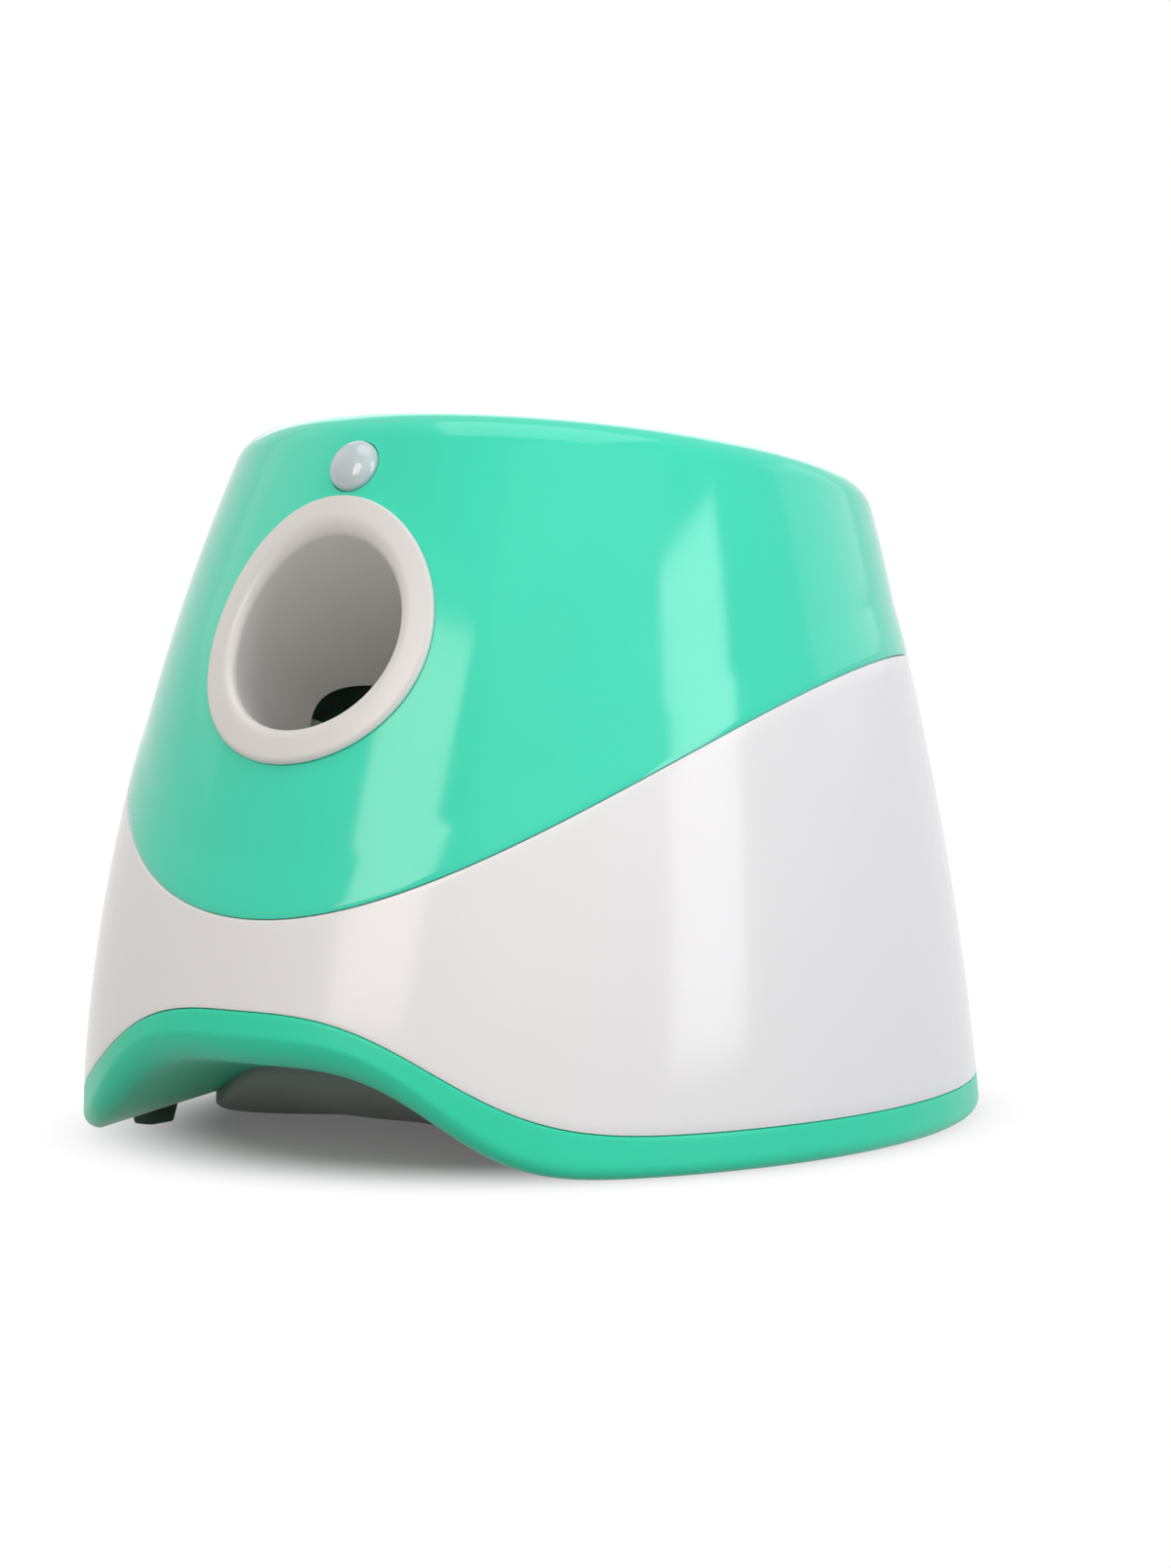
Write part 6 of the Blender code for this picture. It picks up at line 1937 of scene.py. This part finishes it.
    def foot(self, name: str, angle: float) -> None:
        """Rubber foot whose top follows the soffit, with rounded sides.

        Args:
            name: Which foot.
            angle: Its place round the body.
        """
        middle = BODY.ring(np.array([angle]), np.zeros(1), self.foot_inset)[0]
        wide, long = self.foot_size[0] / 2, self.foot_size[1] / 2
        corner, quarter = self.foot_corner, math.pi / 2
        rows = []
        for number, (across, along) in enumerate(((1, 1), (-1, 1), (-1, -1), (1, -1))):
            for turn in np.linspace(0, quarter, 7) + number * quarter:
                x = across * (wide - corner) + corner * math.cos(turn)
                rows.append((x, along * (long - corner) + corner * math.sin(turn)))
        tops = [self.under_soffit(middle[0] + x, middle[1] + y) - self.foot_seat for x, y in rows]
        levels = [np.full(len(rows), z) for z in self.foot_edge]
        levels += [np.array(tops) * share for share in (0.25, 0.5, 0.75, 1.0)]
        rings = []
        for number, heights in enumerate(levels):
            tread = 0 if number else self.foot_tread
            draw = 1 - self.foot_taper / wide * (1 - np.minimum(heights / self.foot_taper_top, 1)) - tread
            rings.append(np.column_stack([middle[:2] + np.array(rows) * draw[:, None], heights]))
        foot = loft("foot_pad_" + name, rings)
        settle(foot, Slot.RUBBER, Body.ROOT, "foot_" + name)

    def build(self) -> None:
        """Builds pan, door, screws and feet."""
        self.pan()
        self.door()
        self.screws()
        for name, degrees in self.foot_angles:
            self.foot(name, math.radians(degrees))


@dataclass
class Innards:
    """Solids that stay as they are, with rounded edges and their slots' finishes."""

    def build(self, nodes: dict[str, bpy.types.Object]) -> None:
        """Dresses every solid of the frame by its slot.

        Args:
            nodes: The frame's solids by name.
        """
        by_slot = {slot.value: slot for slot in Slot}
        for name, node in nodes.items():
            if node.hide_render:
                continue
            for place, material in enumerate(node.data.materials):
                slot = by_slot[material.name.split(".")[0]]
                node.data.materials[place] = PAINTSHOP.materials[slot]
            bevelled(node)
            LOG.info("%s keeps its solid", name)


# Camera and studio


@dataclass
class Camera:
    """Camera at the photograph's angle."""

    place: tuple[float, float, float] = (0.70991, -1.01243, 0.17890)
    forward: tuple[float, float, float] = (-0.56380, 0.82398, -0.05655)
    lens_mm: float = 86.19
    sensor_mm: float = 36.0

    def build(self) -> None:
        """Sets the camera up and makes it the scene's own."""
        data = bpy.data.cameras.new("photo_camera")
        data.lens = self.lens_mm
        data.sensor_width = self.sensor_mm
        data.clip_start = 0.01
        camera = bpy.data.objects.new("photo_camera", data)
        bpy.context.scene.collection.objects.link(camera)
        camera.location = self.place
        camera.rotation_euler = Vector(self.forward).to_track_quat("-Z", "Y").to_euler()
        bpy.context.scene.camera = camera


@dataclass(frozen=True)
class Softbox:
    """A soft lamp, placed by where it lies as seen from the launcher."""

    name: str
    azimuth: float
    elevation: float
    wide: float
    tall: float
    watts: float
    distance: float = 1.3
    colour: str = "#FFFFFF"

    def build(self) -> None:
        """Adds the lamp; azimuth is measured from the front towards +X."""
        data = bpy.data.lights.new(self.name, "AREA")
        data.shape = "RECTANGLE"
        data.size = self.wide
        data.size_y = self.tall
        data.energy = self.watts
        data.color = linear(self.colour)[:3]
        lamp = bpy.data.objects.new(self.name, data)
        bpy.context.scene.collection.objects.link(lamp)
        side, lift = math.radians(self.azimuth), math.radians(self.elevation)
        away = Vector((math.sin(side) * math.cos(lift), -math.cos(side) * math.cos(lift), math.sin(lift)))
        lamp.location = Vector((0, 0, 0.11)) + away * self.distance
        lamp.rotation_euler = (-away).to_track_quat("-Z", "Y").to_euler()


@dataclass
class Studio:
    """Floor whose painted glow looks white away from the launcher and fades near it, white surround and
    softboxes.
    """

    floor_size: float = 12.0
    # The floor's real paint is mid grey; it looks white only through the painted glow.
    floor_colour: str = "#A2A2A2"
    # Painted light on the floor: for camera, gloss and transmission rays its glow is 0.12 inside 0.68 of the
    # footprint ellipse, which lifts the shadow there, and it grows to full white by 1.12, which sets how far
    # the shadow reaches.
    painted_shade_glow: float = 0.12
    footprint: tuple[float, float] = (0.139, 0.1625)
    painted_shade_from: float = 0.68
    painted_shade_to: float = 1.12
    ambient: float = 0.33
    softboxes: tuple[Softbox, ...] = (
        Softbox("window_right", 88.4, 16.3, 0.43, 0.93, 5.3, colour="#FAFCFF"),
        Softbox("window_front", 3.6, 23.5, 0.5, 0.73, 4.5, colour="#FFF3E6"),
        Softbox("fill_front_right", 52, 34, 1.6, 1.6, 3.3, distance=1.8),
        Softbox("overhead", 20, 84, 1.2, 1.2, 6.5, distance=1.6),
        Softbox("fill_rear_right", 150, 25, 1.2, 0.9, 2, distance=1.8),
        Softbox("fill_left", 280, 30, 0.9, 0.9, 0.8, distance=1.8, colour="#FFF1E1"),
        Softbox("fill_rear", 215, 30, 1.2, 0.9, 4, distance=1.8),
    )

    def seen_directly(self, tree: bpy.types.NodeTree) -> bpy.types.NodeSocket:
        """One for rays from the camera, off gloss or through glass, and zero for the rest.

        Args:
            tree: The node tree.

        Returns:
            The socket.
        """
        path = add_node(tree, "ShaderNodeLightPath")
        seen = path.outputs["Is Camera Ray"]
        for kind in ("Is Glossy Ray", "Is Transmission Ray"):
            both = add_node(tree, "ShaderNodeMath", {0: seen, 1: path.outputs[kind]}, operation="MAXIMUM")
            seen = both.outputs["Value"]
        return seen

    def floor(self) -> None:
        """Large floor of mid-grey paint that keeps the launcher's shadow close to it, under a painted white
        glow that hides the paint away from the launcher and lifts the shadow a little.
        """
        half = self.floor_size / 2
        corners = [(-half, -half, 0), (half, -half, 0), (half, half, 0), (-half, half, 0)]
        floor = mesh_piece("studio_floor", corners, [(0, 1, 2, 3)])
        material = bpy.data.materials.new("painted_floor")
        material.use_nodes = True
        tree = material.node_tree
        tree.nodes.clear()
        place = add_node(tree, "ShaderNodeTexCoord").outputs["Object"]
        grain = add_node(tree, "ShaderNodeTexNoise", {"Vector": place, "Scale": per_metre(3.0)})
        relief = add_node(
            tree, "ShaderNodeBump", {"Strength": 0.05, "Distance": 0.05 * MM, "Height": grain.outputs["Fac"]}
        )
        paint = add_node(
            tree,
            "ShaderNodeBsdfPrincipled",
            {"Base Color": linear(self.floor_colour), "Roughness": 0.6, "Normal": relief.outputs["Normal"]},
        )
        # Painted glow: white emission whose share fades from full away from the launcher to a small share
        # over its footprint, so the shadow shows only close to it.
        glow = add_node(tree, "ShaderNodeEmission", {"Strength": 1.0})
        flat = (1 / self.footprint[0], 1 / self.footprint[1], 0.0)
        scaled = add_node(tree, "ShaderNodeVectorMath", {0: place, 1: flat}, operation="MULTIPLY")
        away = add_node(tree, "ShaderNodeVectorMath", {0: scaled.outputs["Vector"]}, operation="LENGTH")
        spread = add_node(
            tree,
            "ShaderNodeMapRange",
            {
                "Value": away.outputs["Value"],
                "From Min": self.painted_shade_from,
                "From Max": self.painted_shade_to,
                "To Min": self.painted_shade_glow,
            },
            interpolation_type="SMOOTHSTEP",
        )
        lit = {0: self.seen_directly(tree), 1: spread.outputs["Result"]}
        share = add_node(tree, "ShaderNodeMath", lit, operation="MULTIPLY")
        mix = {0: share.outputs["Value"], 1: paint.outputs["BSDF"], 2: glow.outputs["Emission"]}
        both = add_node(tree, "ShaderNodeMixShader", mix)
        add_node(tree, "ShaderNodeOutputMaterial", {"Surface": both.outputs["Shader"]})
        floor.data.materials.append(material)

    def world(self) -> None:
        """White to the eye, a plain soft light to the launcher."""
        world = bpy.data.worlds.new("studio")
        bpy.context.scene.world = world
        world.use_nodes = True
        tree = world.node_tree
        tree.nodes.clear()
        seen = self.seen_directly(tree)
        strength = add_node(
            tree, "ShaderNodeMapRange", {"Value": seen, "To Min": self.ambient, "To Max": 1.0}
        )
        light = add_node(tree, "ShaderNodeBackground", {"Strength": strength.outputs["Result"]})
        light.inputs["Color"].default_value = (1.0, 1.0, 1.0, 1.0)
        add_node(tree, "ShaderNodeOutputWorld", {"Surface": light.outputs["Background"]})

    def build(self) -> None:
        """Builds floor, surround and lamps."""
        self.floor()
        self.world()
        for softbox in self.softboxes:
            softbox.build()


def main() -> None:
    """Loads the frame and builds every sub-assembly round it."""
    logging.basicConfig(level=logging.INFO, format="%(name)s: %(message)s")
    for thing in list(bpy.data.objects):
        bpy.data.objects.remove(thing)
    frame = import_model()
    bpy.context.scene.view_settings.view_transform = "Standard"
    PAINTSHOP.stock()
    Camera().build()
    Studio().build()
    CASING.build()
    Hopper().build()
    LaunchTube().build()
    MotionLens().build()
    for side, body in ((-1, Body.WHEEL_LEFT), (1, Body.WHEEL_RIGHT)):
        ThrowingWheel(side, body).build()
    Chamber().build()
    RearPanel().build()
    Underside().build()
    Innards().build(frame["nodes"])


if __name__ == "__main__":
    main()
